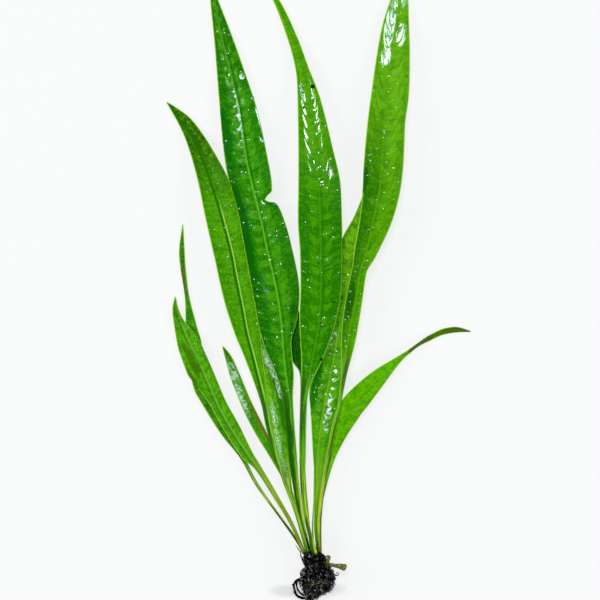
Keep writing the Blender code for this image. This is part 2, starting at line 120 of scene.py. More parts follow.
def vecCalc(operation, *values):
    return field(treeOf(*values), "ShaderNodeVectorMath", dict(enumerate(values)), operation=operation)


def scaled(vector, factor):
    return field(treeOf(vector), "ShaderNodeVectorMath", {0: vector, "Scale": factor}, operation="SCALE")


def noise(place, scale, detail, output=0, wires=None, **settings):
    wires = {"Vector": place, "Scale": scale, "Detail": detail, **(wires or {})}
    return field(treeOf(place), "ShaderNodeTexNoise", wires, output, **settings)


def position(tree):
    return field(tree, "GeometryNodeInputPosition")


def named(tree, name):
    wires = {"Name": name}
    return field(tree, "GeometryNodeInputNamedAttribute", wires, "Attribute", data_type="FLOAT_VECTOR")


def step(geometry, kind, wires=None, **settings):
    # the next geometry node in a chain
    return field(treeOf(geometry), "GeometryNode" + kind, {0: geometry, **(wires or {})}, **settings)


def store(geometry, name, value, kind="FLOAT_VECTOR", domain="POINT"):
    wires = {"Name": name, "Value": value}
    return step(geometry, "StoreNamedAttribute", wires, data_type=kind, domain=domain)


def place(geometry, point, floor):
    # moves the points to where they belong, in metres and no lower than the floor
    x, y, z = split(point)
    return step(geometry, "SetPosition", {"Position": scaled(join(x, y, most(z, floor)), mm)})


def socketKind(value):
    # a socket's default tells its kind, and one without a default is given by its kind
    if isinstance(value, str):
        return "NodeSocket" + value
    if isinstance(value, tuple):
        return "NodeSocketColor" if len(value) == 4 else "NodeSocketVector"
    return "NodeSocketInt" if isinstance(value, int) else "NodeSocketFloat"


def openTree(name, kind, inputs, outputs):
    tree = bpy.data.node_groups.new(name, kind)
    for way, sockets in (("INPUT", inputs), ("OUTPUT", outputs)):
        for key, value in sockets.items():
            socket = tree.interface.new_socket(key, in_out=way, socket_type=socketKind(value))
            if not isinstance(value, str):
                socket.default_value = value
    given = {socket.name: Field(socket) for socket in tree.nodes.new("NodeGroupInput").outputs}
    return tree, given, tree.nodes.new("NodeGroupOutput").inputs


def openShape(name, source, inputs):
    return openTree(name, "GeometryNodeTree", {source: "Geometry", **inputs, "Material": "Material"},
                    {"Geometry": "Geometry"})


def closeShape(tree, geometry, given, result):
    real = step(geometry, "RealizeInstances")
    tree.links.new(step(real, "SetMaterial", {"Material": given["Material"]}).socket, result["Geometry"])
    return tree


def runNodes(source, tree, values):
    # gives the modifier its inputs, then turns the result into a plain mesh
    modifier = source.modifiers.new("shape", "NODES")
    modifier.node_group = tree
    for item in tree.interface.items_tree:
        if item.in_out == "INPUT" and item.name in values:
            modifier[item.identifier] = values[item.name]
    graph = bpy.context.evaluated_depsgraph_get()
    mesh = bpy.data.meshes.new_from_object(source.evaluated_get(graph))
    bpy.data.objects.remove(source, do_unlink=True)
    return mesh


def addObject(name, data):
    obj = bpy.data.objects.new(name, data)
    bpy.context.scene.collection.objects.link(obj)
    return obj


def pointSource(name, points, edges, **attributes):
    # loose points or chains of them, with a vector at each for every attribute
    mesh = bpy.data.meshes.new(name)
    mesh.from_pydata([tuple(point) for point in points], edges, [])
    for key, values in attributes.items():
        layer = mesh.attributes.new(key, "FLOAT_VECTOR", "POINT")
        layer.data.foreach_set("vector", [part for value in values for part in value])
    return addObject(name, mesh)


def newMaterial(name):
    material = bpy.data.materials.new(name)
    material.use_nodes = True
    return material, material.node_tree, material.node_tree.nodes["Principled BSDF"]


def shade(red, green, blue):
    # a screen colour, as the shader's linear one
    parts = [part / 255 for part in (red, green, blue)]
    return (*(part / 12.92 if part <= 0.04045 else ((part + 0.055) / 1.055) ** 2.4 for part in parts), 1.0)


# camera, table and light

view = {
    "centre": (-7.5, 140.0),  # the spot on the table under the camera
    "height": 2083.3,
    "lens": 250.0,
    "sensor": 36.0,
    "clip": (0.1, 20.0),  # metres
}


def addCamera():
    data = bpy.data.cameras.new("overhead")
    data.lens = view["lens"]
    data.sensor_width = view["sensor"]
    data.clip_start, data.clip_end = view["clip"]
    camera = addObject("overhead", data)
    camera.location = Vector((*view["centre"], view["height"])) * mm
    bpy.context.scene.camera = camera


lights = {
    # name: place from the middle of the plant, width and length, all in metres, power, colour
    "topSoftbox": ((-0.12, 0.6, 1.8), 0.5, 0.5, 15.0, (0.86, 0.97, 1.0)),
    "leftSoftbox": ((-1.5, 0.3, 1.15), 0.7, 1.0, 10.5, (1.0, 1.0, 1.0)),
    "rightSoftbox": ((1.5, -0.1, 1.15), 0.7, 1.0, 10.0, (1.0, 1.0, 1.0)),
    "lowSoftbox": ((0.0, -1.5, 1.15), 1.0, 0.7, 8.0, (1.0, 1.0, 1.0)),
}
# strength of the white room at its sides and overhead, and how steeply up the one ends and the other begins
room = {"sides": 0.35, "overhead": 0.02, "sidesTo": 0.35, "overheadFrom": 0.95}


def addLights():
    middle = Vector((*view["centre"], 0)) * mm
    for name, (spot, width, length, power, colour) in lights.items():
        data = bpy.data.lights.new(name, "AREA")
        data.shape = "RECTANGLE"
        data.size = width
        data.size_y = length
        data.energy = power
        data.color = colour
        lamp = addObject(name, data)
        lamp.location = middle + Vector(spot)
        lamp.rotation_euler = (-Vector(spot)).to_track_quat("-Z", "Y").to_euler()
    world = bpy.data.worlds.new("paleRoom")
    world.use_nodes = True
    tree = world.node_tree
    upward = split(field(tree, "ShaderNodeTexCoord", output="Generated"))[2]
    strength = ramp(upward, room["sidesTo"], room["overheadFrom"], room["sides"], room["overhead"])
    tree.links.new(strength.socket, tree.nodes["Background"].inputs["Strength"])
    tree.nodes["Background"].inputs["Color"].default_value = (1, 1, 1, 1)
    bpy.context.scene.world = world


table = {
    "size": 6.0, "drop": 0.00005,  # metres
    "shader": {
        "Base Color": (0.215, 0.215, 0.215, 1), "Roughness": 0.9, "Specular IOR Level": 0.1,
        "Emission Strength": 0.745,
    },
    # painted shadow: the glow is weaker where the roots would shade the table: middle, half size and share
    # lost
    "paintedShadows": ((-13.5, -5.5, 12.0, 4.0, 0.23), (8.5, -4.5, 9.0, 4.0, 0.18), (-4.0, -6.0, 10.0, 6.0, 0.18)),
}


def addTable():
    bpy.ops.mesh.primitive_plane_add(size=table["size"], location=(0, 0, -table["drop"]))
    plane = bpy.context.object
    plane.name = "paleTable"
    material, tree, shader = newMaterial("paleTable")
    for key, value in table["shader"].items():
        shader.inputs[key].default_value = value
    x, y, _ = split(field(tree, "ShaderNodeTexCoord", output="Object"))
    glow = 1.0
    for middleX, middleY, halfX, halfY, lost in table["paintedShadows"]:
        a, b = (x - middleX * mm) / (halfX * mm), (y - middleY * mm) / (halfY * mm)
        glow = glow * ramp(a * a + b * b, 0.0, 1.0, 1 - lost, 1.0)
    tree.links.new(glow.socket, shader.inputs["Emission Color"])
    plane.data.materials.append(material)


# what every frond has in common

leaf = {
    "thickness": 0.5,
    "stalkRadius": 0.95,
    "ribRadius": 0.55,
    "smallestHalf": 0.12,  # half width of the blade at its very ends
    "ribTop": 0.4,  # height of the midrib on the upper side, as a share of its radius
    "bladeFrom": 1.1,  # half width at which the stalk begins to be a blade
    "bladeAt": 3.5,
    "stationSpacing": 2.0,
    "rowSpacing": 0.62,
    "columnSpacing": 0.5,
    "fewestColumns": 22,
    "topShare": 0.62,  # share of the columns that lie on the upper side
    "edgeWidth": 0.9,
    "ribFillet": 0.12,
    "endSlope": 1.8,
    "waveLength": 38.0,
    "waveLag": 0.35,
    "veinSlant": 0.2,
    "veinDrift": 1.6,
    "veinTurn": (0.2, 0.7),  # share of the half blade where a vein bends towards the tip
    "blisterSize": 3.4,
    "blisterMean": 0.55,
    "dropFromEdge": 0.8,
    "dropFacing": 0.7,
    "dropSizes": (0.6, 1.2),
    "dropRise": 0.19,
    "dropSink": 0.28,
}

# what a frond has where its own table doesn't say otherwise
usual = {
    "relief": {
        "Vein Spacing": 6.7, "Vein Height": -0.05, "Blister Height": 0.2, "Row Share": 0.6, "Row At": 0.4,
        "Row Width": 0.4, "Grain Height": 0.008, "Sway Height": 0.5, "Wave Height": 0.5, "Wave Start": 0.0,
        "Drop Count": 0.8, "Drop Size": 0.4,
    },
    "paint": {
        "Painted Stalk Side Shade": 1.0, "Stalk To": 50.0, "Tip From": 0.85, "Mottle": 0.45, "Vein": 0.3, "Grit": 0.5,
        "Fibres": 0.35, "Painted Relief Shading": 0.45, "Sheen": 0.04, "Painted Glare": 0.0, "Painted Sparkle": 0.0,
        "Stalk Shade": 0.85, "Rib Strength": 0.7, "Margin Left": 0.4, "Margin Right": 0.4, "Specks": 0.0,
        "Rib Fade": 0.3, "Rib Sharpness": 2.0, "Painted Rib Shade Left": 0.0, "Painted Rib Shade Right": 0.0, "Bump": 0.2,
        "Wet Width": 3.0, "Dry Rib": 0.0, "Side Blend": 0.7, "Shadow And Stain Width": 2.0, "Glint Dot Scale": 1.5,
        "Painted Glare Tint": (240, 255, 250), "Shadow And Stain Tint": (0, 100, 5), "Vein Tint": (110, 182, 30),
        "Stalk Deep": (60, 90, 8), "Stalk Pale": (206, 230, 84), "Painted Edge Light": (160, 220, 60),
    },
}
# the eight colours that every frond has of its own
ownTints = ("Left", "Right", "Tip", "Deep", "Pale", "Rib", "Margin", "Stalk")
# long patches on the blade: wet film with painted glare in it, glitter with painted sparkles in it, dark
# specks, and shade stretches that are painted shadow on some fronds and brown stains on others
patchCounts = {"Film": 3, "Glitter": 3, "Spot": 4, "Shade": 2}
patchNowhere = (0.0, -50.0, 1.0)
# the leaf itself is dull, and the film of water on it is the shader's coat
water = {"Roughness": 0.3, "Specular IOR Level": 0.01, "Coat Roughness": 0.12, "Coat IOR": 1.79}


def slopes(places, values, flatten):
    last = len(values) - 1
    result = []
    for i in range(last + 1):
        before, after = max(i - 1, 0), min(i + 1, last)
        slope = (values[after] - values[before]) / (places[after] - places[before])
        if flatten and 0 < i < last:
            rising = (values[i] - values[before]) * (values[after] - values[i])
            slope = slope if rising > 0 else 0.0
        result.append(slope)
    return result


def hermite(places, values, tangents, i, t):
    span = places[i + 1] - places[i]
    near = (1 + 2 * t) * (1 - t) ** 2 * values[i] + t * (1 - t) ** 2 * span * tangents[i]
    far = t * t * (3 - 2 * t) * values[i + 1] + t * t * (t - 1) * span * tangents[i + 1]
    return near + far


def smoothRows(rows, spacing):
    # rows on a smooth curve through the given ones, with the length along it
    places = [0.0]
    for one, other in zip(rows, rows[1:]):
        places.append(places[-1] + (Vector(other[:3]) - Vector(one[:3])).length)
    columns = list(zip(*rows))
    tangents = [slopes(places, column, k > 2) for k, column in enumerate(columns)]
    result = []
    for i in range(len(rows) - 1):
        steps = max(1, math.ceil((places[i + 1] - places[i]) / spacing))
        for number in range(steps):
            t = number / steps
            row = [hermite(places, column, tangents[k], i, t) for k, column in enumerate(columns)]
            result.append((places[i] + t * (places[i + 1] - places[i]), row))
    result.append((places[-1], list(rows[-1])))
    return result


def buildFrondTree():
    tree, given, result = openShape("frondShape", "Spine", {
        "Length": 300.0, "Rows": 400, "Columns": 60, "Rib Top": leaf["ribTop"], **usual["relief"],
        "Seed": 0.0})

    # a flat sheet of points: u runs round the section, v from the stalk to the tip
    sheet = field(tree, "GeometryNodeMeshGrid", {
        "Size X": 1.0, "Size Y": 1.0, "Vertices X": given["Columns"], "Vertices Y": given["Rows"]})
    x, y, _ = split(position(tree))
    u, v = x + 0.5, y + 0.5
    top = leaf["topShare"]
    onTop = u < top
    upper = calc("MULTIPLY_ADD", u, 2.0 / top, -1.0)
    lower = calc("MULTIPLY_ADD", u - top, -2.0 / (1.0 - top), 1.0)
    share = most(least(upper * onTop + lower * (1.0 - onTop), 1.0), -1.0)
    isRight = share > 0.0
    away = abs(share)

    # the spine with what it says of the section at each of its points
    spine = step(given["Spine"], "MeshToCurve")

    def fromSpine(name):
        wires = {"Curves": spine, "Factor": v, "Value": named(tree, name)}
        made = addNode(tree, "GeometryNodeSampleCurve", wires, data_type="FLOAT_VECTOR", mode="FACTOR")
        return made.outputs

    sizes = fromSpine("sizes")
    left, right, rib = split(Field(sizes["Value"]))
    cupLeft, cupRight, blade = split(Field(fromSpine("lean")["Value"]))
    forward = Field(fromSpine("forward")["Value"])
    sideways = vecCalc("NORMALIZE", vecCalc("CROSS_PRODUCT", forward, (0, 0, 1)))
    up = vecCalc("CROSS_PRODUCT", sideways, forward)
    reach, cup = blend(isRight, left, right), blend(isRight, cupLeft, cupRight)
    across = share * reach
    distance = abs(across)
    toEdge = (1.0 - away) * reach
    along = v * given["Length"]

    # height of the round midrib and of the flat blade, whose two ends close to a point
    ribShare = (given["Rib Top"] - 1.0) * (blade * onTop) + 1.0
    ribHeight = calc("SQRT", most(rib * rib - distance * distance, 0.0)) * ribShare
    half = least(leaf["thickness"] * 0.5, reach * 0.4) * ramp(toEdge, 0.0, leaf["edgeWidth"])
    height = calc("SMOOTH_MAX", ribHeight, half, leaf["ribFillet"]) * (onTop * 2.0 - 1.0)
    closing = least(least(v, 1.0 - v) * given["Length"] * leaf["endSlope"], 1.0)
    height = height * closing
    across = across * closing

    # lateral veins, and the blisters between them
    drift = noise(join(isRight * 9.0, along * 0.05, given["Seed"]), 1.0, 1.0)
    fromRib = (distance - rib) / most(reach - rib, 0.3)
    turning = ramp(fromRib, *leaf["veinTurn"])
    slant = distance * leaf["veinSlant"] + turning * turning * given["Vein Spacing"]
    count = (along - slant) / given["Vein Spacing"] + isRight * 0.5 + drift * leaf["veinDrift"]
    within = calc("FRACT", count)
    veinGap = least(within, 1.0 - within) * given["Vein Spacing"]
    inBlade = ramp(fromRib, 0.0, 0.12) * ramp(fromRib, 0.98, 0.8)
    veins = ramp(veinGap, 1.0, 0.1) * inBlade * ramp(fromRib, 0.85, 0.6)
    outward = (fromRib - given["Row At"]) / given["Row Width"]
    arch = calc("SINE", within * math.pi) ** 0.8 * most(1.0 - outward * outward, 0.0)
    cellPlace = join(distance / leaf["blisterSize"], count * given["Vein Spacing"] / leaf["blisterSize"],
                     isRight * 5.0 + given["Seed"])
    cells = field(tree, "ShaderNodeTexVoronoi", {"Vector": cellPlace, "Scale": 1.0, "Smoothness": 0.35},
                  "Distance", feature="SMOOTH_F1")
    domes = 1.0 - cells * cells * 2.2
    flatPlace = join(across, along, given["Seed"])
    lumps, grain, sway = (noise(flatPlace, *look) for look in ((0.16, 2.0), (0.85, 3.0), (0.045, 1.0)))
    blisters = arch * given["Row Share"] + domes * (lumps * (1.7 - given["Row Share"]))

    # relief: blisters, veins, grain, a slow sway and the waves of the margin
    relief = (blisters - leaf["blisterMean"]) * (given["Blister Height"] * inBlade)
    relief = relief + veins * given["Vein Height"]
    relief = relief + (grain - 0.5) * (given["Grain Height"] * 2.0)
    relief = relief + (sway - 0.5) * (given["Sway Height"] * 2.0)
    turn = along / leaf["waveLength"] + (given["Wave Start"] + isRight * leaf["waveLag"])
    wave = calc("SINE", turn * math.tau) * given["Wave Height"] * (away * away)
    lift = height + (relief + wave) * (blade * closing)

    # the point in space: out from the spine along the tilted half of the blade, and up
    flat = scaled(sideways, across * calc("COSINE", cup))
    rise = scaled(up, abs(across) * calc("SINE", cup) + lift)
    point = vecCalc("ADD", vecCalc("ADD", Field(sizes["Position"]), flat), rise)
    marks = {
        "leafShare": join(v, reach, toEdge),
        "leafPlace": join(across, along, away),
        "leafRelief": join(ramp(distance, rib, rib * 0.4), veins, blisters),
        "leafPart": join(blade, calc("SINE", count * math.tau), isRight),
    }
    for name, value in marks.items():
        sheet = store(sheet, name, value)
    merged = step(place(sheet, point, 0.0), "MergeByDistance", {"Distance": 1e-6})
    smooth = step(merged, "SetShadeSmooth")

    # drops of water on the upper side, so many to the square centimetre
    facing = split(field(tree, "GeometryNodeInputNormal"))[2]
    inside = split(named(tree, "leafPart"))[0] * (split(named(tree, "leafShare"))[2] > leaf["dropFromEdge"])
    spots = addNode(tree, "GeometryNodeDistributePointsOnFaces", {
        "Mesh": smooth, "Selection": facing > leaf["dropFacing"],
        "Density": inside * (given["Drop Count"] * 10000.0), "Seed": given["Seed"],
    }).outputs
    smallest, largest = (given["Drop Size"] * part for part in leaf["dropSizes"])
    size = field(tree, "FunctionNodeRandomValue", {2: smallest, 3: largest}, 1, data_type="FLOAT")
    # each is a lens whose rim lies just under the skin of the leaf
    lens = field(tree, "GeometryNodeMeshIcoSphere", {"Radius": 1.0, "Subdivisions": 2})
    x, y, z = split(position(tree))
    bulge = join(x, y, (z * abs(z) - leaf["dropSink"]) * leaf["dropRise"])
    lens = step(store(lens, "onDrop", 1.0, "FLOAT"), "SetPosition", {"Position": scaled(bulge, mm)})
    drops = step(Field(spots["Points"]), "InstanceOnPoints", {
        "Instance": step(lens, "SetShadeSmooth"), "Rotation": Field(spots["Rotation"]),
        "Scale": join(size, size, size),
    })
    together = addNode(tree, "GeometryNodeJoinGeometry")
    for part in (drops, smooth):
        tree.links.new(part.socket, together.inputs[0])
    return closeShape(tree, Field(together.outputs[0]), given, result)


def buildFrond(name, number, frond, tree, material):
    rows = smoothRows(frond["stations"], leaf["stationSpacing"])
    length = rows[-1][0]
    half = leaf["thickness"] / 2
    points, sizes, lean, forward = [], [], [], []
    for i, (along, (x, y, z, left, right)) in enumerate(rows):
        before = Vector(rows[max(i - 1, 0)][1][:3])
        after = Vector(rows[min(i + 1, len(rows) - 1)][1][:3])
        left, right = max(left, leaf["smallestHalf"]), max(right, leaf["smallestHalf"])
        rib = leaf["stalkRadius"] + (leaf["ribRadius"] - leaf["stalkRadius"]) * along / length
        rib = min(rib * frond.get("ribScale", 1.0), left, right)
        t = (min(left, right) - leaf["bladeFrom"]) / (leaf["bladeAt"] - leaf["bladeFrom"])
        t = min(max(t, 0.0), 1.0)
        blade = t * t * (3 - 2 * t)
        cupLeft, cupRight = (math.radians(angle) for angle in cupAt(frond["lean"], y))
        # how far the section would reach below the table
        sunk = min(z - max(rib, half), z + left * math.sin(cupLeft) * blade - half,
                   z + right * math.sin(cupRight) * blade - half)
        points.append((x, y, z - min(sunk, 0.0)))
        sizes.append((left, right, rib))
        lean.append((cupLeft * blade, cupRight * blade, blade))
        forward.append(tuple((after - before).normalized()))
    edges = [(i, i + 1) for i in range(len(points) - 1)]
    source = pointSource(name + "Spine", points, edges, sizes=sizes, lean=lean, forward=forward)
    widest = max(one[3] + one[4] for _, one in rows)
    mesh = runNodes(source, tree, {
        "Length": length,
        "Rows": int(length / leaf["rowSpacing"]),
        "Columns": int(max(leaf["fewestColumns"], widest / leaf["columnSpacing"] / leaf["topShare"])),
        "Rib Top": frond.get("ribTop", leaf["ribTop"]),
        "Seed": float(number), "Material": material, **frond["relief"],
    })
    mesh.name = name
    return addObject(name, mesh)


def cupAt(lean, y):
    # tilt of the two halves at this distance along the table, in degrees
    if y <= lean[0][0]:
        return lean[0][1:]
    for one, other in zip(lean, lean[1:]):
        if y <= other[0]:
            t = (y - one[0]) / (other[0] - one[0])
            t = t * t * (3 - 2 * t)
            return [a + (b - a) * t for a, b in zip(one[1:], other[1:])]
    return lean[-1][1:]


# the fronds: stations are x, y, z of the midrib and the half widths left and right of it,
# lean is the distance along the table and the tilt of the left and right half from there, in degrees,
# and a patch is its distance from the midrib, its distance from the root and its half length

fronds = {
    "tallLeft": {
        "node": "frond_tall_left", "slot": "leaf_dark", "lean": ((0, 7, 6),),
        "relief": {
            "Blister Height": 0.22, "Row Share": 1.1, "Row At": 0.16, "Grain Height": 0.006,
            "Sway Height": 0.25, "Wave Height": 0.6, "Wave Start": 0.2, "Drop Count": 2.0,
            "Drop Size": 1.05,
        },
        "paint": {
            "Left": (44, 137, 4), "Right": (64, 158, 10), "Tip": (58, 134, 4), "Deep": (10, 104, 6),
            "Pale": (84, 172, 14), "Rib": (112, 190, 40), "Margin": (66, 96, 10), "Stalk": (114, 156, 18),
            "Tip From": 0.72, "Mottle": 0.6, "Painted Relief Shading": 0.6, "Sheen": 0.1, "Painted Sparkle": 0.75,
            "Margin Left": 0.9, "Margin Right": 0.0, "Painted Rib Shade Right": 0.6, "Bump": 0.08, "Wet Width": 1.5,
            "Shadow And Stain Width": 2.6, "Glint Dot Scale": 0.42, "Painted Glare Tint": (225, 255, 250),
            "Shadow And Stain Tint": (10, 104, 6), "Stalk Deep": (24, 88, 4), "Coat Roughness": 0.14,
        },
        "patches": {
            "Film": ((-1.5, 223.0, 24.0), (-5.2, 134.0, 9.0), (2.5, 172.0, 9.0)),
            "Glitter": ((-1.0, 222.0, 19.0), (9.2, 216.0, 10.0), (5.4, 241.5, 1.6)),
            # the Shade patches are painted shadow of the left frond along this frond's left margin
            "Shade": ((-9.0, 165.0, 34.0), (-8.0, 214.0, 16.0)),
        },
        "stations": (
            (-2.8, 12.8, 8.2, 0.95, 1.05), (-6.5, 30.0, 8.1, 1.1, 1.2), (-9.0, 47.5, 7.9, 2.1, 1.3),
            (-10.5, 65.0, 7.8, 3.0, 1.3), (-12.75, 90.0, 7.6, 3.3, 1.75), (-14.85, 105.0, 7.5, 5.4, 4.2),
            (-16.0, 117.5, 7.4, 9.5, 4.2), (-17.0, 130.0, 7.3, 11.7, 8.4),
            (-19.25, 145.0, 7.2, 12.2, 11.7), (-24.1, 166.0, 6.4, 11.1, 12.4),
            (-26.75, 179.0, 5.7, 11.3, 11.2), (-28.7, 186.6, 5.3, 11.1, 9.1),
            (-29.1, 188.8, 5.2, 11.0, 4.2), (-30.0, 191.6, 5.0, 10.9, 8.9),
            (-34.25, 210.0, 4.1, 10.8, 10.7), (-38.0, 234.0, 3.0, 9.5, 9.2), (-42.5, 255.0, 1.5, 6.8, 6.8),
            (-47.0, 272.5, 0.5, 3.7, 5.2), (-50.25, 290.0, 0.2, 2.2, 1.8),
            (-52.75, 300.0, 0.2, 0.25, 0.25),
        ),
    },
    "tallCentre": {
        "node": "frond_tall_centre", "slot": "leaf_mid", "lean": ((0, 6, 6),),
        "relief": {
            "Vein Spacing": 7.3, "Row Share": 1.3, "Row At": 0.26, "Row Width": 0.36,
            "Grain Height": 0.006, "Sway Height": 0.25, "Wave Height": 0.6, "Wave Start": 0.5,
            "Drop Count": 2.2, "Drop Size": 1.1,
        },
        "paint": {
            "Left": (42, 128, 2), "Right": (37, 119, 2), "Tip": (108, 184, 4), "Deep": (26, 118, 2),
            "Pale": (88, 172, 8), "Rib": (72, 160, 8), "Margin": (112, 172, 34), "Stalk": (120, 162, 16),
            "Tip From": 0.56, "Sheen": 0.0, "Rib Strength": 0.6, "Margin Left": 0.3, "Margin Right": 0.8,
            "Specks": 0.9, "Painted Rib Shade Right": 0.3, "Bump": 0.06, "Wet Width": 2.0, "Dry Rib": 0.8,
            "Stalk Deep": (40, 90, 4), "Stalk Pale": (186, 220, 60), "Coat Roughness": 0.1,
        },
        "patches": {
            "Film": ((-2.8, 213.0, 29.0), (1.7, 213.0, 27.0), (6.2, 193.0, 5.0)),
            "Spot": ((2.9, 235.4, 1.2), (-2.5, 233.5, 0.6), (-3.5, 225.8, 0.7), (4.3, 100.0, 1.0)),
        },
        "stations": (
            (0.6, 12.4, 11.2, 1.2, 1.1), (-3.75, 29.5, 11.7, 1.2, 0.85), (-5.65, 45.0, 12.1, 1.5, 0.9),
            (-6.1, 66.5, 12.4, 1.75, 1.6), (-5.25, 90.0, 12.6, 2.2, 1.45), (-4.1, 97.5, 12.7, 3.1, 1.6),
            (-1.6, 109.0, 12.8, 5.4, 4.4), (0.0, 117.5, 12.9, 7.5, 6.5), (2.0, 130.0, 12.9, 10.0, 8.5),
            (3.0, 145.0, 12.9, 10.4, 10.2), (3.0, 165.0, 12.7, 10.7, 10.7), (2.6, 177.5, 12.3, 11.2, 11.1),
            (2.0, 195.0, 11.4, 10.5, 11.1), (0.25, 215.0, 9.6, 8.7, 8.7), (-2.75, 240.0, 6.4, 6.1, 5.5),
            (-6.25, 255.0, 4.3, 3.5, 3.3), (-11.0, 270.0, 2.4, 2.5, 2.6), (-19.75, 290.0, 0.6, 1.3, 1.7),
            (-26.5, 298.5, 0.2, 0.25, 0.25),
        ),
    },
    "tallRight": {
        "node": "frond_tall_right", "slot": "leaf_light",
        "lean": ((0, -14, 5), (210, -12, 5), (255, -5, 5), (300, -5, 5)),
        "relief": {"Blister Height": 0.22, "Wave Start": 0.1, "Drop Count": 3.0, "Drop Size": 0.8},
        "paint": {
            "Left": (42, 122, 2), "Right": (90, 167, 4), "Tip": (106, 184, 10), "Deep": (26, 96, 2),
            "Pale": (116, 186, 18), "Rib": (104, 176, 12), "Margin": (124, 184, 40),
            "Stalk": (150, 180, 40), "Painted Stalk Side Shade": -1.6, "Tip From": 0.6, "Mottle": 0.22, "Vein": 0.15,
            "Grit": 0.28, "Fibres": 0.15, "Painted Relief Shading": 0.3, "Painted Glare": 0.46, "Stalk Shade": 0.75,
            "Rib Strength": 0.5, "Margin Right": 0.2, "Bump": 0.1, "Wet Width": 2.7, "Side Blend": 4.5,
            "Shadow And Stain Width": 1.8, "Painted Glare Tint": (205, 245, 225), "Shadow And Stain Tint": (26, 96, 2),
            "Stalk Deep": (60, 58, 10), "Stalk Pale": (196, 214, 70), "Coat Roughness": 0.18,
        },
        "patches": {
            "Film": ((-2.4, 268.0, 16.0), (2.6, 290.0, 12.0), (-2.4, 252.0, 5.0)),
            # the Shade patches are painted shade along the rolled left half
            "Glitter": ((3.8, 264.0, 6.0),), "Shade": ((-7.8, 190.0, 8.0), (-2.4, 128.0, 12.0)),
        },
        "stations": (
            (2.5, 12.8, 8.2, 0.9, 0.9), (1.95, 27.0, 8.5, 0.9, 1.2), (2.8, 38.5, 8.9, 0.9, 1.1),
            (5.9, 60.0, 9.7, 0.9, 0.9), (8.75, 73.0, 10.2, 0.9, 0.9), (11.75, 86.0, 10.6, 0.85, 0.85),
            (14.0, 102.0, 11.0, 1.3, 1.6), (17.0, 124.0, 11.3, 4.0, 4.0), (20.0, 138.5, 11.4, 5.2, 3.4),
            (22.5, 154.0, 11.4, 4.6, 3.2), (25.0, 162.5, 11.4, 6.0, 5.3), (29.0, 180.0, 11.1, 7.0, 9.2),
            (32.0, 195.0, 10.6, 8.5, 10.4), (33.2, 209.0, 10.0, 9.1, 10.9), (34.5, 230.0, 8.6, 8.3, 10.6),
            (35.75, 240.0, 7.8, 8.2, 10.8), (38.0, 263.5, 5.2, 7.0, 9.4), (40.0, 277.5, 3.4, 6.2, 7.1),
            (42.25, 290.0, 1.8, 4.5, 4.5), (43.4, 301.0, 0.7, 2.5, 2.5), (44.5, 311.0, 0.2, 0.25, 0.25),
        ),
    },
    "backRight": {
        "node": "frond_back_right", "slot": "leaf_mid", "lean": ((0, 5, 4),),
        "relief": {
            "Vein Spacing": 5.0, "Blister Height": 0.3, "Row Share": 1.0, "Row At": 0.3,
            "Wave Height": 0.4, "Wave Start": 0.3, "Drop Count": 2.4, "Drop Size": 1.05,
        },
        "paint": {
            "Left": (84, 174, 8), "Right": (98, 184, 8), "Tip": (150, 220, 14), "Deep": (34, 126, 6),
            "Pale": (116, 194, 35), "Rib": (132, 202, 30), "Margin": (50, 110, 10),
            "Stalk": (132, 194, 16), "Stalk To": 46.0, "Tip From": 0.6, "Mottle": 0.6, "Vein": 0.4,
            "Sheen": 0.06, "Painted Sparkle": 0.8, "Stalk Shade": 0.35, "Margin Right": 0.2, "Bump": 0.12,
            "Wet Width": 2.4, "Glint Dot Scale": 0.7, "Shadow And Stain Tint": (26, 116, 6), "Stalk Deep": (30, 110, 6),
            "Stalk Pale": (190, 220, 80),
        },
        "patches": {
            "Film": ((-2.0, 104.0, 20.0), (-2.4, 78.0, 10.0), (2.8, 92.0, 12.0)),
            "Glitter": ((2.6, 72.0, 12.0), (-2.7, 109.0, 10.0)),
            # the Shade patches are painted shadow of the centre frond along the left margin
            "Shade": ((-6.4, 128.0, 34.0), (-6.2, 84.0, 18.0)),
        },
        "stations": (
            (1.8, 12.8, 4.3, 0.9, 0.9), (1.3, 27.0, 4.1, 1.8, 0.9), (1.0, 42.0, 4.1, 1.2, 1.5),
            (1.0, 55.0, 4.0, 1.5, 3.3), (1.5, 65.0, 3.8, 2.75, 4.5), (4.25, 85.0, 3.5, 6.7, 6.75),
            (6.0, 94.0, 3.4, 9.0, 7.0), (8.75, 107.5, 3.2, 7.75, 7.25), (14.75, 140.0, 2.7, 7.75, 7.25),
            (17.0, 155.0, 2.2, 7.4, 6.4), (19.5, 170.0, 1.6, 5.9, 5.4), (22.0, 181.0, 1.0, 2.6, 3.0),
            (25.5, 196.0, 0.3, 0.25, 0.25),
        ),
    },
    "left": {
        "node": "frond_left", "slot": "leaf_mid", "ribTop": 0.9, "lean": ((0, -5, -4),),
        "relief": {
            "Vein Height": 0.05, "Blister Height": 0.15, "Row Share": 0.9, "Row At": 0.35,
            "Row Width": 0.45, "Wave Start": 0.6, "Drop Size": 0.75,
        },
        "paint": {
            "Left": (76, 164, 4), "Right": (78, 164, 2), "Tip": (42, 84, 2), "Deep": (36, 108, 2),
            "Pale": (104, 178, 20), "Rib": (156, 210, 76), "Margin": (70, 120, 10), "Stalk": (98, 150, 14),
            "Tip From": 0.72, "Vein": 0.4, "Fibres": 0.3, "Painted Relief Shading": 0.3, "Sheen": 0.0,
            "Rib Strength": 1.0, "Margin Right": 0.3, "Rib Fade": 1.0, "Rib Sharpness": 6.0,
            "Painted Rib Shade Left": 1.0, "Bump": 0.08, "Vein Tint": (170, 216, 96), "Stalk Deep": (44, 104, 6),
            "Stalk Pale": (150, 200, 44),
        },
        "stations": (
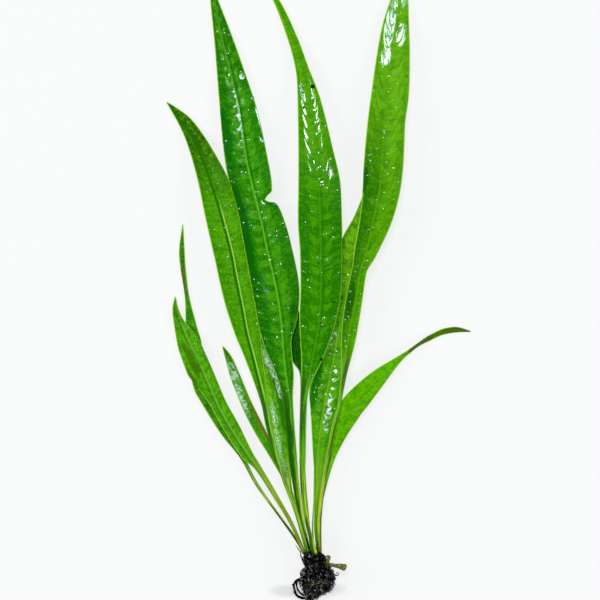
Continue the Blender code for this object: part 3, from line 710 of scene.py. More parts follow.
            (-3.2, 12.4, 10.8, 0.9, 0.9), (-6.3, 23.5, 10.9, 0.9, 0.9), (-9.9, 36.0, 11.0, 0.95, 0.95),
            (-15.15, 50.0, 11.1, 1.0, 1.0), (-19.15, 63.5, 11.3, 1.3, 0.9), (-22.0, 76.0, 11.4, 2.2, 1.0),
            (-24.75, 90.0, 11.5, 2.5, 1.7), (-30.25, 112.5, 11.5, 5.0, 4.1),
            (-33.25, 124.0, 11.4, 6.7, 6.1), (-35.75, 137.5, 11.2, 8.7, 6.1),
            (-38.5, 151.0, 10.9, 9.3, 6.2), (-41.0, 164.0, 10.9, 9.6, 6.5), (-47.0, 186.5, 9.8, 8.7, 8.0),
            (-51.0, 199.0, 8.2, 7.3, 7.9), (-55.0, 210.5, 5.9, 6.3, 5.9), (-60.0, 221.0, 2.9, 4.8, 4.5),
            (-65.5, 229.0, 1.5, 3.0, 3.7), (-70.5, 235.0, 0.5, 1.5, 1.8), (-74.25, 239.0, 0.2, 0.25, 0.25),
        ),
    },
    "lowLeft": {
        "node": "frond_low_left", "slot": "leaf_dark", "lean": ((0, 4, 4),),
        "relief": {"Blister Height": 0.4, "Wave Height": 0.2, "Drop Count": 1.2, "Drop Size": 0.7},
        "paint": {
            "Left": (140, 222, 18), "Right": (112, 202, 12), "Tip": (96, 180, 30), "Deep": (34, 122, 8),
            "Pale": (120, 196, 50), "Rib": (50, 140, 20), "Margin": (30, 90, 10), "Stalk": (124, 170, 28),
            "Mottle": 0.25, "Sheen": 0.1, "Painted Glare": 0.75, "Painted Sparkle": 0.9, "Rib Strength": 0.3, "Bump": 0.4,
            "Wet Width": 1.6, "Shadow And Stain Width": 2.4, "Painted Glare Tint": (240, 242, 255),
            "Shadow And Stain Tint": (34, 124, 8), "Coat Roughness": 0.3,
        },
        "patches": {
            "Film": ((0.4, 102.0, 7.0), (2.2, 95.0, 5.0), (3.7, 86.0, 7.0)),
            "Glitter": ((-0.8, 72.0, 8.0), (-0.9, 58.0, 10.0), (-0.8, 43.0, 9.0)),
            # the Shade patch is painted shadow of the fronds lying over this one
            "Shade": ((3.6, 86.0, 26.0),),
        },
        "stations": (
            (-3.6, 12.8, 5.3, 0.8, 0.8), (-5.6, 20.0, 5.2, 0.8, 0.8), (-8.75, 32.0, 5.0, 0.85, 0.85),
            (-12.25, 45.0, 4.7, 1.0, 1.0), (-14.25, 55.0, 4.4, 2.0, 2.3), (-16.75, 65.0, 4.2, 3.2, 4.0),
            (-20.75, 90.0, 3.6, 3.75, 5.0), (-22.5, 100.0, 3.2, 3.6, 4.6), (-25.5, 115.0, 2.2, 2.5, 2.5),
            (-28.0, 125.0, 1.4, 0.25, 0.25),
        ),
    },
    "farLeftFront": {
        "node": "frond_far_left_front", "slot": "leaf_mid",
        "lean": ((0, -3, 3), (85, -10, 3), (100, -20, 3), (145, -16, 3)),
        "relief": {"Wave Height": 0.3, "Wave Start": 0.4, "Drop Count": 0.7, "Drop Size": 0.65},
        "paint": {
            "Left": (84, 176, 4), "Right": (88, 178, 6), "Tip": (64, 140, 10), "Deep": (48, 104, 8),
            "Pale": (112, 184, 40), "Rib": (120, 190, 60), "Margin": (90, 85, 20), "Stalk": (150, 176, 36),
            "Stalk Shade": 0.5, "Margin Left": 0.3, "Margin Right": 0.7, "Painted Rib Shade Left": 0.5,
            "Shadow And Stain Width": 1.9, "Shadow And Stain Tint": (66, 112, 6), "Stalk Deep": (108, 128, 24),
        },
        # the Shade patches are painted shade on the left half
        "patches": {"Shade": ((-3.3, 112.0, 13.0), (-7.2, 98.0, 12.0))},
        "stations": (
            (-5.0, 13.0, 7.0, 0.85, 0.85), (-11.7, 28.0, 6.9, 0.8, 1.2), (-19.9, 42.5, 6.6, 1.2, 1.4),
            (-29.0, 57.0, 6.2, 1.6, 1.9), (-33.0, 62.5, 6.0, 3.4, 2.5), (-41.5, 75.5, 5.6, 3.6, 4.4),
            (-48.0, 87.0, 5.2, 3.6, 4.5), (-53.25, 98.75, 4.8, 6.3, 4.7), (-56.75, 106.75, 4.5, 8.4, 4.8),
            (-59.65, 113.0, 4.2, 7.9, 4.9), (-62.85, 119.5, 3.8, 6.8, 4.8), (-67.0, 129.5, 2.7, 3.8, 1.6),
            (-69.0, 135.5, 1.6, 2.4, 0.9), (-69.85, 141.8, 0.3, 0.25, 0.25),
        ),
    },
    "farLeftBack": {
        "node": "frond_far_left_back", "slot": "leaf_dark", "lean": ((0, 2, 2),),
        "relief": {"Blister Height": 0.15, "Wave Height": 0.1, "Drop Count": 0.3},
        "paint": {
            "Left": (62, 150, 12), "Right": (72, 160, 14), "Tip": (96, 108, 24), "Deep": (20, 100, 8),
            "Pale": (110, 180, 40), "Rib": (60, 140, 30), "Margin": (40, 70, 15), "Stalk": (60, 85, 20),
            "Tip From": 0.8, "Mottle": 0.4, "Vein": 0.2, "Rib Strength": 0.4, "Shadow And Stain Width": 0.9,
            "Shadow And Stain Tint": (92, 98, 30),
        },
        "patches": {"Shade": ((-0.6, 152.0, 8.0),)},
        "stations": (
            (-5.4, 13.0, 3.7, 0.6, 0.6), (-9.4, 20.4, 3.9, 0.65, 0.65), (-20.3, 35.7, 3.2, 0.65, 0.65),
            (-29.1, 47.7, 2.6, 0.7, 1.0), (-36.5, 61.5, 2.0, 1.05, 1.0), (-45.0, 74.0, 1.7, 2.2, 2.0),
            (-54.0, 90.0, 1.5, 3.2, 3.0), (-57.0, 97.5, 1.5, 4.0, 3.8), (-61.0, 117.5, 1.4, 4.0, 4.6),
            (-62.0, 127.5, 1.3, 2.7, 2.8), (-64.5, 145.0, 1.1, 1.0, 1.2), (-66.6, 162.5, 0.8, 1.4, 1.6),
            (-66.1, 178.0, 0.3, 0.25, 0.25),
        ),
    },
    "shortLeft": {
        "node": "frond_short_left", "slot": "leaf_dark", "lean": ((0, 3, 3),),
        "relief": {"Wave Height": 0.1, "Drop Count": 0.6, "Drop Size": 0.6},
        "paint": {
            "Left": (90, 174, 16), "Right": (84, 170, 14), "Tip": (64, 84, 12), "Deep": (10, 96, 8),
            "Pale": (80, 165, 25), "Rib": (70, 150, 25), "Margin": (120, 76, 20), "Stalk": (128, 166, 40),
            "Tip From": 0.87, "Mottle": 0.5, "Vein": 0.2, "Painted Glare": 0.75, "Painted Sparkle": 0.6,
            "Rib Strength": 0.4, "Margin Left": 0.2, "Margin Right": 1.0, "Bump": 0.3, "Wet Width": 2.0,
            "Shadow And Stain Width": 0.9, "Painted Glare Tint": (206, 240, 206), "Shadow And Stain Tint": (116, 102, 30),
            "Stalk Deep": (40, 100, 6), "Coat Roughness": 0.3,
        },
        "patches": {
            "Film": ((-0.5, 98.5, 8.0), (-0.8, 89.0, 5.0), (-1.4, 83.0, 3.0)),
            "Glitter": ((-1.6, 78.0, 4.0),), "Shade": ((2.2, 70.0, 13.0),),
        },
        "stations": (
            (-3.2, 12.8, 3.0, 0.75, 0.75), (-5.7, 23.5, 2.9, 0.75, 0.75), (-7.1, 30.0, 2.7, 0.75, 0.75),
            (-10.9, 42.0, 2.3, 0.8, 0.8), (-14.6, 49.5, 2.1, 0.85, 0.85), (-21.1, 61.5, 1.9, 1.3, 2.1),
            (-28.3, 75.0, 1.7, 2.2, 3.3), (-34.5, 88.5, 1.5, 2.7, 2.8), (-40.0, 102.5, 1.2, 2.6, 2.4),
            (-43.5, 111.5, 0.8, 1.6, 1.7), (-46.25, 117.0, 0.4, 0.3, 0.3),
        ),
    },
    "curvedRight": {
        "node": "frond_curved_right", "slot": "leaf_light", "lean": ((0, 5, 5),),
        "relief": {"Blister Height": 0.16, "Wave Height": 0.3, "Wave Start": 0.2, "Drop Size": 0.7},
        "paint": {
            "Left": (106, 190, 1), "Right": (104, 186, 1), "Tip": (58, 98, 8), "Deep": (50, 140, 4),
            "Pale": (112, 196, 12), "Rib": (112, 192, 20), "Margin": (96, 84, 24), "Stalk": (70, 72, 18),
            "Stalk To": 42.0, "Tip From": 0.68, "Mottle": 0.35, "Vein": 0.4, "Rib Strength": 0.4,
            "Margin Left": 0.5, "Margin Right": 0.5, "Bump": 0.15, "Shadow And Stain Width": 1.8,
            "Shadow And Stain Tint": (74, 98, 16), "Stalk Deep": (20, 18, 6), "Stalk Pale": (110, 110, 30),
        },
        "patches": {"Shade": ((0.2, 124.0, 10.0), (0.0, 144.0, 11.0))},
        "stations": (
            (2.6, 12.6, 6.2, 0.75, 0.75), (2.1, 32.0, 6.1, 0.75, 0.75), (4.5, 46.5, 5.7, 0.8, 1.1),
            (8.0, 61.5, 5.5, 2.0, 2.3), (12.0, 74.5, 5.6, 4.25, 4.8), (17.0, 85.2, 5.7, 5.8, 6.5),
            (22.0, 91.5, 5.6, 5.6, 6.4), (31.5, 101.0, 5.2, 4.4, 4.4), (39.75, 108.25, 4.4, 2.5, 1.95),
            (46.0, 113.5, 3.4, 1.1, 1.0), (51.5, 117.9, 2.4, 0.65, 1.1), (57.5, 121.4, 1.4, 1.1, 1.6),
            (64.25, 124.1, 0.6, 1.6, 1.5), (70.5, 125.1, 0.2, 1.5, 1.4), (78.0, 124.25, 0.2, 0.25, 0.25),
        ),
    },
    "backCentre": {
        "node": "frond_back_centre", "slot": "leaf_dark", "lean": ((0, 3, 3),),
        "relief": {"Wave Height": 0.2, "Drop Count": 0.2},
        "paint": {
            "Left": (20, 96, 6), "Right": (34, 116, 6), "Tip": (40, 118, 8), "Deep": (8, 80, 6),
            "Pale": (60, 140, 20), "Rib": (50, 120, 15), "Margin": (60, 85, 15), "Stalk": (120, 172, 22),
            "Tip From": 0.8, "Mottle": 0.4, "Vein": 0.2, "Stalk Shade": 0.3, "Rib Strength": 0.3,
        },
        "stations": (
            (-1.4, 12.6, 5.2, 0.75, 0.75), (-3.5, 30.0, 4.9, 0.75, 0.75), (-5.4, 52.0, 4.5, 0.85, 0.85),
            (-5.9, 75.0, 4.0, 0.9, 0.9), (-6.3, 97.0, 3.6, 1.0, 1.0), (-6.8, 104.5, 3.4, 1.2, 1.2),
            (-7.4, 109.0, 3.3, 3.5, 2.6), (-8.0, 113.0, 3.3, 4.2, 3.6), (-9.5, 120.0, 3.1, 4.4, 4.4),
            (-13.5, 145.0, 2.2, 3.0, 3.0), (-16.0, 159.0, 1.2, 0.25, 0.25),
        ),
    },
    "young": {
        "node": "frond_young", "slot": "leaf_light", "ribScale": 0.5, "lean": ((0, 0, 0),),
        "relief": {"Blister Height": 0.0, "Sway Height": 0.0, "Wave Height": 0.0, "Drop Count": 0.2},
        "paint": {
            "Left": (90, 170, 20), "Right": (90, 170, 20), "Tip": (90, 165, 20), "Deep": (60, 130, 10),
            "Pale": (120, 190, 40), "Rib": (110, 180, 40), "Margin": (80, 140, 15),
            "Stalk": (150, 186, 60), "Mottle": 0.3, "Vein": 0.0, "Stalk Shade": 0.3, "Rib Strength": 0.2,
            "Margin Left": 0.0, "Margin Right": 0.0, "Bump": 0.1,
        },
        "stations": (
            (-0.4, 12.6, 2.6, 0.4, 0.4), (-1.2, 27.0, 2.0, 0.4, 0.4), (-0.4, 40.0, 1.4, 0.45, 0.45),
            (1.0, 65.0, 1.1, 1.2, 1.2), (2.5, 78.0, 1.0, 1.2, 1.2), (3.5, 90.0, 0.8, 0.25, 0.25),
        ),
    },
}


def buildLeafPattern():
    tints = {key: shade(*value) for key, value in usual["paint"].items() if isinstance(value, tuple)}
    patches = {f"{kind} {i + 1}": patchNowhere for kind, count in patchCounts.items() for i in range(count)}
    tree, given, result = openTree(
        "leafPattern", "ShaderNodeTree",
        {**dict.fromkeys(ownTints, "Color"), **usual["paint"], **tints, **patches, "Seed": 0.0},
        {"Color": "Color", "Wet": "Float", "Normal": "Vector"})

    def read(name):
        return split(field(tree, "ShaderNodeAttribute", output="Vector", attribute_name=name))

    def cloud(scale, detail, offset):
        return noise(join(across, along, given["Seed"] + offset), scale, detail)

    def cover(amount, tint):
        return mix(amount, base, given[tint])

    across, along, _ = read("leafPlace")
    lengthShare, _, toEdge = read("leafShare")
    rib, veins, blisters = read("leafRelief")
    blade, veinTurn, isRight = read("leafPart")

    # the two halves, the one rolled away from the light coloured darker as painted shade, the tip, and
    # mottling
    tipFrom = given["Tip From"]
    base = mix(ramp(across, given["Side Blend"] * -1.0, given["Side Blend"]), given["Left"], given["Right"])
    base = cover(ramp(lengthShare, tipFrom, tipFrom + 0.2), "Tip")
    wide, fine = cloud(0.1, 2.0, 0.3), cloud(0.3, 3.0, 7.1)
    base = cover((ramp(wide, 0.52, 0.34) + ramp(fine, 0.5, 0.34)) * given["Mottle"] * 0.7, "Deep")
    base = cover(ramp(cloud(0.36, 3.0, 3.7), 0.53, 0.7) * given["Mottle"] * 0.6, "Pale")

    # painted shade in the hollows between blisters and painted light on their crests, and painted shade on
    # the lower side of the veins
    crest = ramp(blisters, 0.65, 1.15)
    base = cover(ramp(blisters, 0.5, 0.15) * given["Painted Relief Shading"], "Deep")
    base = cover(crest * given["Painted Relief Shading"], "Pale")
    base = cover(ramp(veins, 0.0, 0.5) * ramp(veinTurn, 0.1, -0.3) * (given["Vein"] * 1.2), "Deep")
    base = cover(ramp(veins, 0.6, 1.0) * given["Vein"], "Vein Tint")

    # slanting fibres and fine grit
    fibrePlace = join(across * 0.12, (along - abs(across) * 0.35) * 0.5, given["Seed"] + 2.2)
    for look, darkAt, paleAt, amount in ((noise(fibrePlace, 1.0, 3.0), 0.36, 0.66, given["Fibres"]),
                                         (cloud(1.1, 2.0, 9.3), 0.3, 0.7, given["Grit"])):
        base = cover(ramp(look, 0.5, darkAt) * amount, "Deep")
        base = cover(ramp(look, 0.52, paleAt) * amount, "Pale")

    # painted shade beside the midrib, the midrib, the margin and a painted highlight along the thin edge
    for side, offset in (("Painted Rib Shade Left", across * -1.0), ("Painted Rib Shade Right", across)):
        base = cover(ramp(offset, 0.3, 0.8) * ramp(offset, 2.2, 1.2) * given[side], "Deep")
    rib = rib * (1.0 - ramp(lengthShare, tipFrom, tipFrom + 0.12) * given["Rib Fade"])
    base = cover(rib ** given["Rib Sharpness"] * given["Rib Strength"], "Rib")
    rim = ramp(toEdge, fine * 1.1 + 0.25, 0.1) * blend(isRight, given["Margin Left"], given["Margin Right"])
    base = cover(rim, "Margin")
    base = cover(ramp(toEdge, 0.6, 0.15) * 0.9, "Painted Edge Light")

    def near(name, width):
        # 1 inside a long patch whose middle and half length are given, 0 outside
        middle, start, size = split(given[name])
        aside, ahead = (across - middle) / (width or size), (along - start) / size
        return ramp(aside * aside + ahead * ahead + (fine - 0.5) * 1.6, 1.1, 0.5)

    def patchesOf(kind, width=None):
        return [near(f"{kind} {i}", width) for i in range(1, patchCounts[kind] + 1)]

    dots = addNode(tree, "ShaderNodeTexVoronoi", {
        "Vector": join(across, along, given["Seed"]), "Scale": 0.14}).outputs
    chance = split(Field(dots["Color"]))[0] > 0.72
    speck = ramp(Field(dots["Distance"]), 0.1, 0.05) * chance * given["Specks"]
    speck = most(speck, *patchesOf("Spot"))
    # Shade patches: painted shadow where another frond or a rolled half shades the blade, and brown stains
    # on other fronds
    for patch in patchesOf("Shade", given["Shadow And Stain Width"]):
        base = cover(patch * 0.85, "Shadow And Stain Tint")

    # the film of water sets the coat; the pale glare and sparkles in it are painted highlights in the
    # colour
    film, glitter = (most(*patchesOf(kind, given["Wet Width"])) for kind in ("Film", "Glitter"))
    wet = most(film, glitter) * ramp(abs(across), given["Dry Rib"], given["Dry Rib"] + 0.6) * (1.0 - speck)
    paintedGlare = ramp(cloud(0.8, 4.0, 11.7), 0.4, 0.6) * film * given["Painted Glare"]
    paintedSparkle = ramp(cloud(given["Glint Dot Scale"], 1.0, 15.3), 0.55, 0.61) * glitter * given["Painted Sparkle"]
    base = cover(most(paintedGlare, paintedSparkle), "Painted Glare Tint")
    base = mix(speck, base, (0.012, 0.03, 0.004, 1.0))

    # the stalk is streaked along its length, with one side painted in shade and the other painted lighter,
    # and black where it is rooted
    onStalk = ramp(along, given["Stalk To"] * 1.2, given["Stalk To"] * 0.4)
    base = cover(onStalk, "Stalk")
    streaks = noise(join(across * 1.3, along * 0.07, given["Seed"] + 6.4), 1.0, 3.0)
    streaks = streaks + across * given["Painted Stalk Side Shade"] * 0.16 - ramp(along, 26.0, 4.0, 0.0, 0.1)
    narrow = (1.0 - blade) * ramp(lengthShare, 0.5, 0.3)
    streaky = most(onStalk, narrow) * given["Stalk Shade"]
    base = cover(ramp(streaks, 0.48, 0.38) * streaky, "Stalk Deep")
    base = mix(ramp(streaks, 0.5, 0.61) * streaky, base, mix(onStalk, given["Pale"], given["Stalk Pale"]))
    rooted = fine * 7.0 - 2.2
    base = mix(ramp(along, rooted + 1.6, rooted), base, (0.006, 0.006, 0.004, 1.0))

    bumps = field(tree, "ShaderNodeBump", {
        "Strength": given["Bump"] * (wet * 0.7 + 0.3), "Distance": 0.0004, "Height": cloud(0.6, 2.0, 5.5)})
    onDrop = field(tree, "ShaderNodeAttribute", output="Fac", attribute_name="onDrop")
    wet = most(wet, onDrop, crest * blade * given["Sheen"], narrow * 0.12)
    for key, value in (("Color", base), ("Wet", wet), ("Normal", bumps)):
        tree.links.new(value.socket, result[key])
    return tree


def leafMaterial(name, number, frond, pattern):
    material, tree, shader = newMaterial(name)
    marks = addNode(tree, "ShaderNodeGroup", {"Seed": float(number)}, node_tree=pattern)
    for key, value in {**water, **frond["paint"]}.items():
        socket = shader.inputs[key] if key in water else marks.inputs[key]
        socket.default_value = shade(*value) if isinstance(value, tuple) else value
    for kind, patches in frond.get("patches", {}).items():
        for i, patch in enumerate(patches, 1):
            marks.inputs[f"{kind} {i}"].default_value = patch
    for output, target in (("Color", "Base Color"), ("Normal", "Normal"), ("Wet", "Coat Weight")):
        tree.links.new(marks.outputs[output], shader.inputs[target])
    return material


def handIn(piece, node):
    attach(piece, "root")
    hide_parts(node)
    print(node, piece.name, len(piece.data.polygons), "faces")


def makeFronds():
    tree, pattern = buildFrondTree(), buildLeafPattern()
    for number, (name, frond) in enumerate(fronds.items(), 1):
        material = leafMaterial(name + "Leaf", number, frond, pattern)
        handIn(buildFrond(name, number, frond, tree, material), frond["node"])


# rhizome and roots: a lump is its centre and its radii

rootBall = {
    "lumps": (
        ((2.0, 0.3, 6.1), (6.0, 5.6, 5.6)), ((4.7, 3.2, 6.6), (2.9, 3.1, 4.4)),
        ((-0.6, -1.0, 5.2), (4.2, 4.7, 5.0)), ((-1.4, -5.2, 4.6), (2.7, 2.9, 3.9)),
        ((-0.8, 3.4, 6.4), (3.4, 3.2, 4.4)),
    ),
    "skin": {"Bump Height": 2.4, "Bump Size": 2.8, "Seed": 4.0},
}
rhizome = {
    "lumps": (
        ((-0.1, 8.0, 7.0), (3.7, 4.6, 4.8)), ((2.2, 9.6, 7.4), (2.6, 3.0, 4.0)),
        ((-2.8, 10.3, 7.0), (2.2, 2.2, 3.8)), ((-0.6, 10.6, 7.2), (3.4, 2.1, 4.2)),
        ((4.2, 6.6, 7.6), (2.6, 2.2, 3.2)),
    ),
    "skin": {"Bump Height": 0.9, "Bump Size": 1.9, "Seed": 9.0},
}
rootPaths = {
    # name: radius at the start, at the end, tint (0 black, 1 olive), points
    "loopOuter": (0.6, 0.7, 0.1, (
        (-6.5, 1.6, 6.0), (-9.3, 0.0, 5.2), (-10.5, -1.9, 3.8), (-10.4, -3.9, 2.6), (-9.9, -6.0, 1.8),
        (-8.8, -7.8, 1.4), (-6.8, -8.8, 1.5), (-4.5, -8.8, 2.6), (-2.6, -7.8, 3.6),
    )),
    "loopTip": (0.7, 0.15, 0.0, ((-8.6, 0.4, 5.4), (-10.0, -0.7, 4.8), (-11.6, -2.2, 4.4))),
    "loopInner": (0.45, 0.5, 0.1, (
        (-7.6, 0.4, 6.0), (-9.2, -1.6, 5.4), (-8.9, -4.0, 4.0), (-7.75, -6.0, 2.8), (-5.6, -7.6, 2.2),
    )),
    "spikeDown": (1.0, 0.2, 0.2, ((-6.6, 1.2, 6.4), (-7.5, -0.9, 6.2), (-7.2, -3.4, 5.0))),
    "shoulder": (0.8, 0.85, 1.0, (
        (-3.0, 6.4, 8.0), (-5.8, 5.5, 8.0), (-6.7, 4.0, 7.6), (-6.6, 2.2, 7.2), (-7.0, 0.8, 6.6),
    )),
    "underHook": (0.65, 0.6, 1.0, ((-6.6, 3.7, 7.8), (-4.8, 3.8, 8.4), (-2.6, 3.4, 8.8))),
    "lowerHook": (0.7, 0.8, 0.15, ((-7.0, 1.2, 6.8), (-4.8, 0.9, 7.4), (-2.4, 1.4, 8.2))),
    "brownRoot": (0.95, 1.3, 0.96, (
        (-2.0, 1.7, 9.4), (-3.1, -0.5, 9.2), (-3.7, -2.5, 8.2), (-3.9, -4.5, 7.0), (-3.7, -7.0, 5.2),
        (-3.9, -9.2, 3.8), (-4.0, -11.6, 2.6),
    )),
    "tail": (0.9, 0.9, 0.1, ((-2.2, -5.4, 4.2), (-1.9, -8.4, 3.2), (-2.2, -11.8, 1.8))),
    "curl": (0.34, 0.18, 0.0, (
        (8.0, 3.2, 6.4), (9.75, 3.1, 6.8), (10.6, 2.8, 7.0), (11.3, 2.8, 7.1), (11.8, 3.5, 7.0),
        (11.4, 4.2, 6.8), (10.8, 4.2, 6.7), (10.5, 3.6, 6.6),
    )),
    "spurHigh": (0.5, 0.12, 0.0, ((7.6, 1.7, 6.2), (9.2, 1.3, 6.4), (10.3, 0.8, 6.6))),
    "spurLow": (0.5, 0.12, 0.0, ((8.0, 1.0, 5.6), (9.4, -0.4, 5.2), (10.1, -2.1, 4.4))),
    "fibreLeft": (0.1, 0.3, 0.4, ((-9.8, 18.0, 7.6), (-8.4, 15.9, 8.0), (-7.1, 14.2, 8.4))),
    "hookLeft": (0.2, 0.45, 0.1, (
        (-7.2, 15.0, 8.8), (-7.1, 13.2, 8.6), (-6.8, 11.8, 8.4), (-5.6, 9.6, 8.0), (-3.8, 8.0, 7.6),
    )),
    "hookInner": (0.12, 0.35, 0.3, ((-5.5, 14.6, 9.8), (-5.3, 12.2, 9.4), (-4.2, 10.2, 8.8))),
    "nub": (0.35, 0.12, 0.0, ((-10.2, -5.2, 1.8), (-10.8, -6.2, 1.4))),
    "sheathMiddle": (0.7, 0.12, 0.0, (
        (-2.6, 12.0, 11.4), (-3.0, 16.0, 11.2), (-3.9, 21.0, 10.8), (-4.6, 25.0, 10.4),
    )),
    "sheathInner": (0.7, 0.15, 0.0, ((-1.6, 11.6, 10.6), (-2.4, 14.6, 10.4), (-2.9, 18.4, 10.0))),
    "sheathRight": (0.8, 0.15, 0.0, (
        (1.4, 11.4, 10.0), (1.1, 14.6, 9.6), (1.2, 17.8, 9.0), (1.5, 21.4, 8.4),
    )),
    "overFront": (0.55, 0.4, 0.25, (
        (1.0, 5.0, 11.4), (0.4, 2.4, 12.0), (1.2, -0.6, 11.8), (-0.2, -3.6, 10.2), (0.6, -6.4, 7.2),
    )),
    "overRight": (0.5, 0.35, 0.1, (
        (3.4, 5.8, 10.6), (5.4, 3.6, 11.0), (6.2, 0.6, 10.6), (5.0, -2.8, 9.6), (2.2, -5.6, 7.8),
    )),
}
stems = {
    # name: radii at the points, tint, points
    "stub": ((1.4, 1.0, 0.95, 1.3, 1.75, 1.6), 1.0, (
        (3.0, 8.1, 8.4), (7.4, 8.2, 8.9), (9.6, 7.9, 9.0), (12.4, 7.4, 8.9), (14.2, 6.9, 8.7),
        (15.5, 6.6, 8.6),
    )),
    "knob": ((1.5, 1.5, 1.2, 1.35, 1.1, 0.6), 0.93, (
        (4.2, 6.4, 8.4), (5.3, 8.2, 8.9), (6.0, 10.2, 9.0), (6.5, 11.7, 8.9), (6.6, 12.5, 8.8),
        (6.6, 12.9, 8.8),
    )),
}
tubeLooks = {
    "rootStrands": {"Wobble": 0.5, "Knobs": 0.9},
    "stubAndKnob": {"Sides": 20, "Step": 0.2, "Wobble": 0.3, "Knobs": 0.7, "Knob Size": 1.0},
}
tangles = {
    "rootTangle": {
        "Density": 0.6, "Longest": 11.0, "Segments": 26, "Sides": 5, "Radius": 0.5, "Standing Off": 0.9,
        "Wobble": 7.0, "Seed": 3,
    },
    "rootHairs": {
        "Density": 1.2, "Longest": 5.5, "Segments": 9, "Sides": 4, "Radius": 0.2, "Standing Off": 0.4,
        "Free End": 2.2, "Wobble": 4.0, "Seed": 8,
    },
    "crownFibres": {
        "Density": 1.6, "Longest": 5.0, "Segments": 10, "Sides": 4, "Radius": 0.26, "Standing Off": 0.4,
        "Free End": 1.2, "Wobble": 3.0, "Seed": 5,
    },
}
rootFloors = {"lumps": 0.3, "tubes": 0.05}
rootLooks = {
    # dark, grey that also serves as painted sheen, olive and painted glint, as screen colours, and the
    # roughness of the water on them
    "wetRoots": ((1, 1, 2), (48, 44, 54), (128, 122, 84), (220, 220, 214), 0.2),
    # the heart is near black, painted shade for the gaps between the strands
    "shadedRootHeart": ((2, 2, 3), (2, 2, 3), (30, 28, 20), (60, 60, 70), 0.5),
    "rhizomeSkin": ((1, 1, 2), (52, 52, 54), (150, 152, 92), (190, 196, 190), 0.22),
    "stubBark": ((34, 36, 18), (96, 102, 46), (170, 178, 96), (206, 214, 160), 0.35),
}


def buildLumpTree():
    # an ellipsoid at each point, roughened
    tree, given, result = openShape("lumps", "Centres", {"Bump Height": 1.0, "Bump Size": 3.0, "Seed": 0.0})
    ball = field(tree, "GeometryNodeMeshIcoSphere", {"Radius": 1.0, "Subdivisions": 5})
    lumps = step(given["Centres"], "InstanceOnPoints", {"Instance": ball, "Scale": named(tree, "radii")})
    lumps = step(lumps, "RealizeInstances")
    here = position(tree)
    rough = noise(vecCalc("ADD", here, join(given["Seed"], 0.0, 0.0)), 1.0 / given["Bump Size"], 3.0)
    push = scaled(field(tree, "GeometryNodeInputNormal"), (rough - 0.5) * given["Bump Height"])
    lumps = place(lumps, vecCalc("ADD", here, push), rootFloors["lumps"])
    return closeShape(tree, step(lumps, "SetShadeSmooth"), given, result)


def tubes(lines, radius, sides):
    tree = treeOf(lines)
    ring = field(tree, "GeometryNodeCurvePrimitiveCircle", {"Resolution": sides, "Radius": 1.0})
    skin = step(lines, "CurveToMesh", {"Profile Curve": ring, "Scale": radius, "Fill Caps": True})
    return step(place(skin, position(tree), rootFloors["tubes"]), "SetShadeSmooth")


def buildPathTree():
    # tubes along lines of points, each with a radius and a tint
    tree, given, result = openShape("rootPaths", "Lines", {
        "Step": 0.3, "Sides": 10, "Wobble": 0.4, "Knobs": 0.5, "Knob Size": 1.2})
    lines = step(given["Lines"], "MeshToCurve")
    lines = step(lines, "ResampleCurve", {"Length": given["Step"]}, mode="LENGTH")
    here = position(tree)
    drift = scaled(vecCalc("SUBTRACT", noise(here, 0.5, 2.0, "Color"), (0.5, 0.5, 0.5)), given["Wobble"])
    lines = step(lines, "SetPosition", {"Offset": drift})
    swell = noise(here, 1.0 / given["Knob Size"], 2.0)
    radius = split(named(tree, "marks"))[0] * (1.0 + (swell - 0.5) * given["Knobs"])
    return closeShape(tree, tubes(lines, radius, given["Sides"]), given, result)


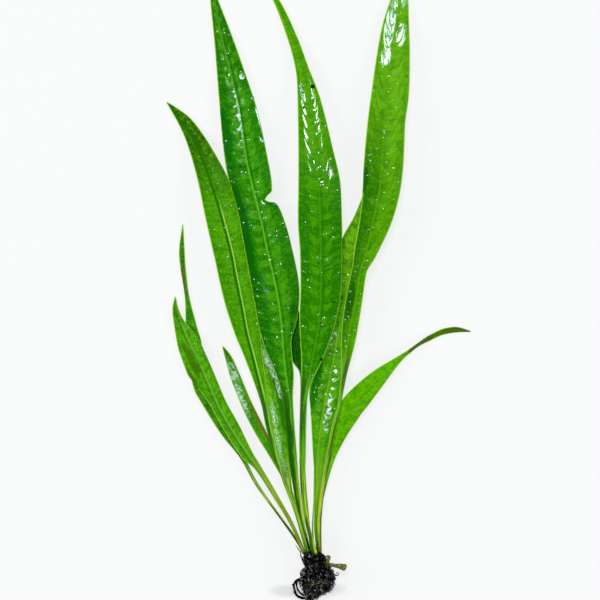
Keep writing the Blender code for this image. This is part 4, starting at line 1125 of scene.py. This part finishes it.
def buildTangleTree():
    # wiry roots that start at random places on a ball and creep over it
    tree, given, result = openShape("rootTangle", "Ball", {
        "Density": 0.3, "Longest": 10.0, "Segments": 20, "Sides": 5, "Radius": 0.25, "Standing Off": 0.3,
        "Free End": 0.0, "Wobble": 2.0, "Seed": 0})

    def chance(low, high, offset):
        wires = {2: low, 3: high, "Seed": given["Seed"] + offset}
        return field(tree, "FunctionNodeRandomValue", wires, 1, data_type="FLOAT")

    ball = given["Ball"]
    starts = addNode(tree, "GeometryNodeDistributePointsOnFaces", {
        "Mesh": ball, "Density": given["Density"], "Seed": given["Seed"]}).outputs
    line = field(tree, "GeometryNodeCurvePrimitiveLine", {"Start": (0, 0, 0), "End": (1, 0, 0)})
    line = step(line, "ResampleCurve", {"Count": given["Segments"]})
    spin = field(tree, "FunctionNodeRotateEuler", {
        "Rotation": Field(starts["Rotation"]), "Rotate By": join(0.0, 0.0, chance(0.0, math.tau, 1)),
    }, space="LOCAL")
    size = chance(0.35, 1.0, 2) * given["Longest"]
    strands = step(Field(starts["Points"]), "InstanceOnPoints", {
        "Instance": line, "Rotation": spin, "Scale": join(size, 1.0, 1.0)})
    # each strand's own thickness, tint and place in the swirl
    own = join(chance(0.5, 1.0, 3), chance(0.0, 1.0, 4), chance(0.0, 50.0, 5))
    strands = step(store(strands, "marks", own, domain="INSTANCE"), "RealizeInstances")
    thick, tint, phase = split(named(tree, "marks"))
    along = field(tree, "GeometryNodeSplineParameter", output="Factor")
    swirl = noise(position(tree), 0.35, 2.0, "Color", {"W": phase}, noise_dimensions="4D")
    swirl = scaled(vecCalc("SUBTRACT", swirl, (0.5, 0.5, 0.5)), given["Wobble"] * (along * 2.0))
    strands = step(strands, "SetPosition", {"Offset": swirl})
    near = field(tree, "GeometryNodeProximity", {0: ball}, "Position", target_element="FACES")
    normal = field(tree, "GeometryNodeInputNormal")
    facing = step(ball, "SampleNearestSurface", {"Value": normal}, data_type="FLOAT_VECTOR")
    off = given["Standing Off"] * (tint + 0.2) + along * along * given["Free End"]
    strands = step(strands, "SetPosition", {"Position": vecCalc("ADD", near, scaled(facing, off))})
    radius = thick * given["Radius"] * ramp(along, 1.0, 0.6, 0.35, 1.0)
    return closeShape(tree, tubes(strands, radius, given["Sides"]), given, result)


def rootMaterial(name):
    dark, greyAndSheen, olive, paintedGlint = (shade(*tint) for tint in rootLooks[name][:4])
    material, tree, shader = newMaterial(name)
    tint = split(field(tree, "ShaderNodeAttribute", output="Vector", attribute_name="marks"))[1]
    here = field(tree, "ShaderNodeTexCoord", output="Object")
    # noise per metre: broad patches, patches, wet threads, flecks of painted glints and grain
    wide, patch, thread, spots, grain = (noise(here, *look) for look in (
        (190.0, 2.0), (450.0, 3.0), (600.0, 2.0), (800.0, 1.0), (2600.0, 2.0)))
    base = mix(ramp(tint, 0.72, 0.95), dark, greyAndSheen)
    base = mix(ramp(tint, 0.92, 0.97) * ramp(patch, 0.42, 0.6) * ramp(wide, 0.42, 0.54), base, olive)
    # painted sheen: soft grey patches where the wet lumps would catch the light
    base = mix(ramp(wide, 0.44, 0.34) * ramp(patch, 0.46, 0.6), base, greyAndSheen)
    # painted glints: pale flecks
    base = mix(ramp(spots, 0.68, 0.73), base, paintedGlint)
    bump = field(tree, "ShaderNodeBump", {"Strength": 0.4, "Distance": 0.0002, "Height": grain})
    for key, value in {**water, "Coat Roughness": rootLooks[name][4]}.items():
        shader.inputs[key].default_value = value
    for key, value in (("Base Color", base), ("Coat Weight", ramp(thread, 0.54, 0.62)), ("Normal", bump)):
        tree.links.new(value.socket, shader.inputs[key])
    return material


def pathSource(name, paths):
    # one chain of smooth points for each path, marked with radius and tint
    points, edges, marks = [], [], []
    for radii, tint, path in paths:
        rows = smoothRows([(*point, radius) for point, radius in zip(path, radii)], 0.6)
        first = len(points)
        points += [row[:3] for _, row in rows]
        marks += [(row[3], tint, along / rows[-1][0]) for along, row in rows]
        edges += [(i, i + 1) for i in range(first, len(points) - 1)]
    return pointSource(name, points, edges, marks=marks)


def makeRoots():
    lumpTree, pathTree, tangleTree = buildLumpTree(), buildPathTree(), buildTangleTree()
    black, shadedHeart, scaly, bark = (rootMaterial(name) for name in rootLooks)

    def ball(name, shape, material):
        centres, radii = zip(*shape["lumps"])
        source = pointSource(name + "Centres", centres, [], radii=radii)
        return addObject(name, runNodes(source, lumpTree, {**shape["skin"], "Material": material}))

    def tube(name, paths, material):
        source = pathSource(name + "Lines", paths)
        return addObject(name, runNodes(source, pathTree, {**tubeLooks[name], "Material": material}))

    def tangle(name, core, material):
        source = addObject(name + "Ball", core.data.copy())
        source.data.transform(Matrix.Scale(1 / mm, 4))
        return addObject(name, runNodes(source, tangleTree, {**tangles[name], "Material": material}))

    core, crown = ball("rootCore", rootBall, shadedHeart), ball("crown", rhizome, scaly)
    paths = [([start + (end - start) * i / (len(path) - 1) for i in range(len(path))], tint, path)
             for start, end, tint, path in rootPaths.values()]
    strands = tube("rootStrands", paths, black)
    stubAndKnob = tube("stubAndKnob", stems.values(), bark)
    wiry, hairs = tangle("rootTangle", core, black), tangle("rootHairs", core, black)
    fibres = tangle("crownFibres", crown, scaly)
    for piece in (core, strands, wiry, hairs):
        handIn(piece, "root_mass")
    for piece in (crown, stubAndKnob, fibres):
        handIn(piece, "rhizome")


addCamera()
addLights()
addTable()
bpy.context.scene.view_settings.view_transform = "Standard"
makeFronds()
makeRoots()
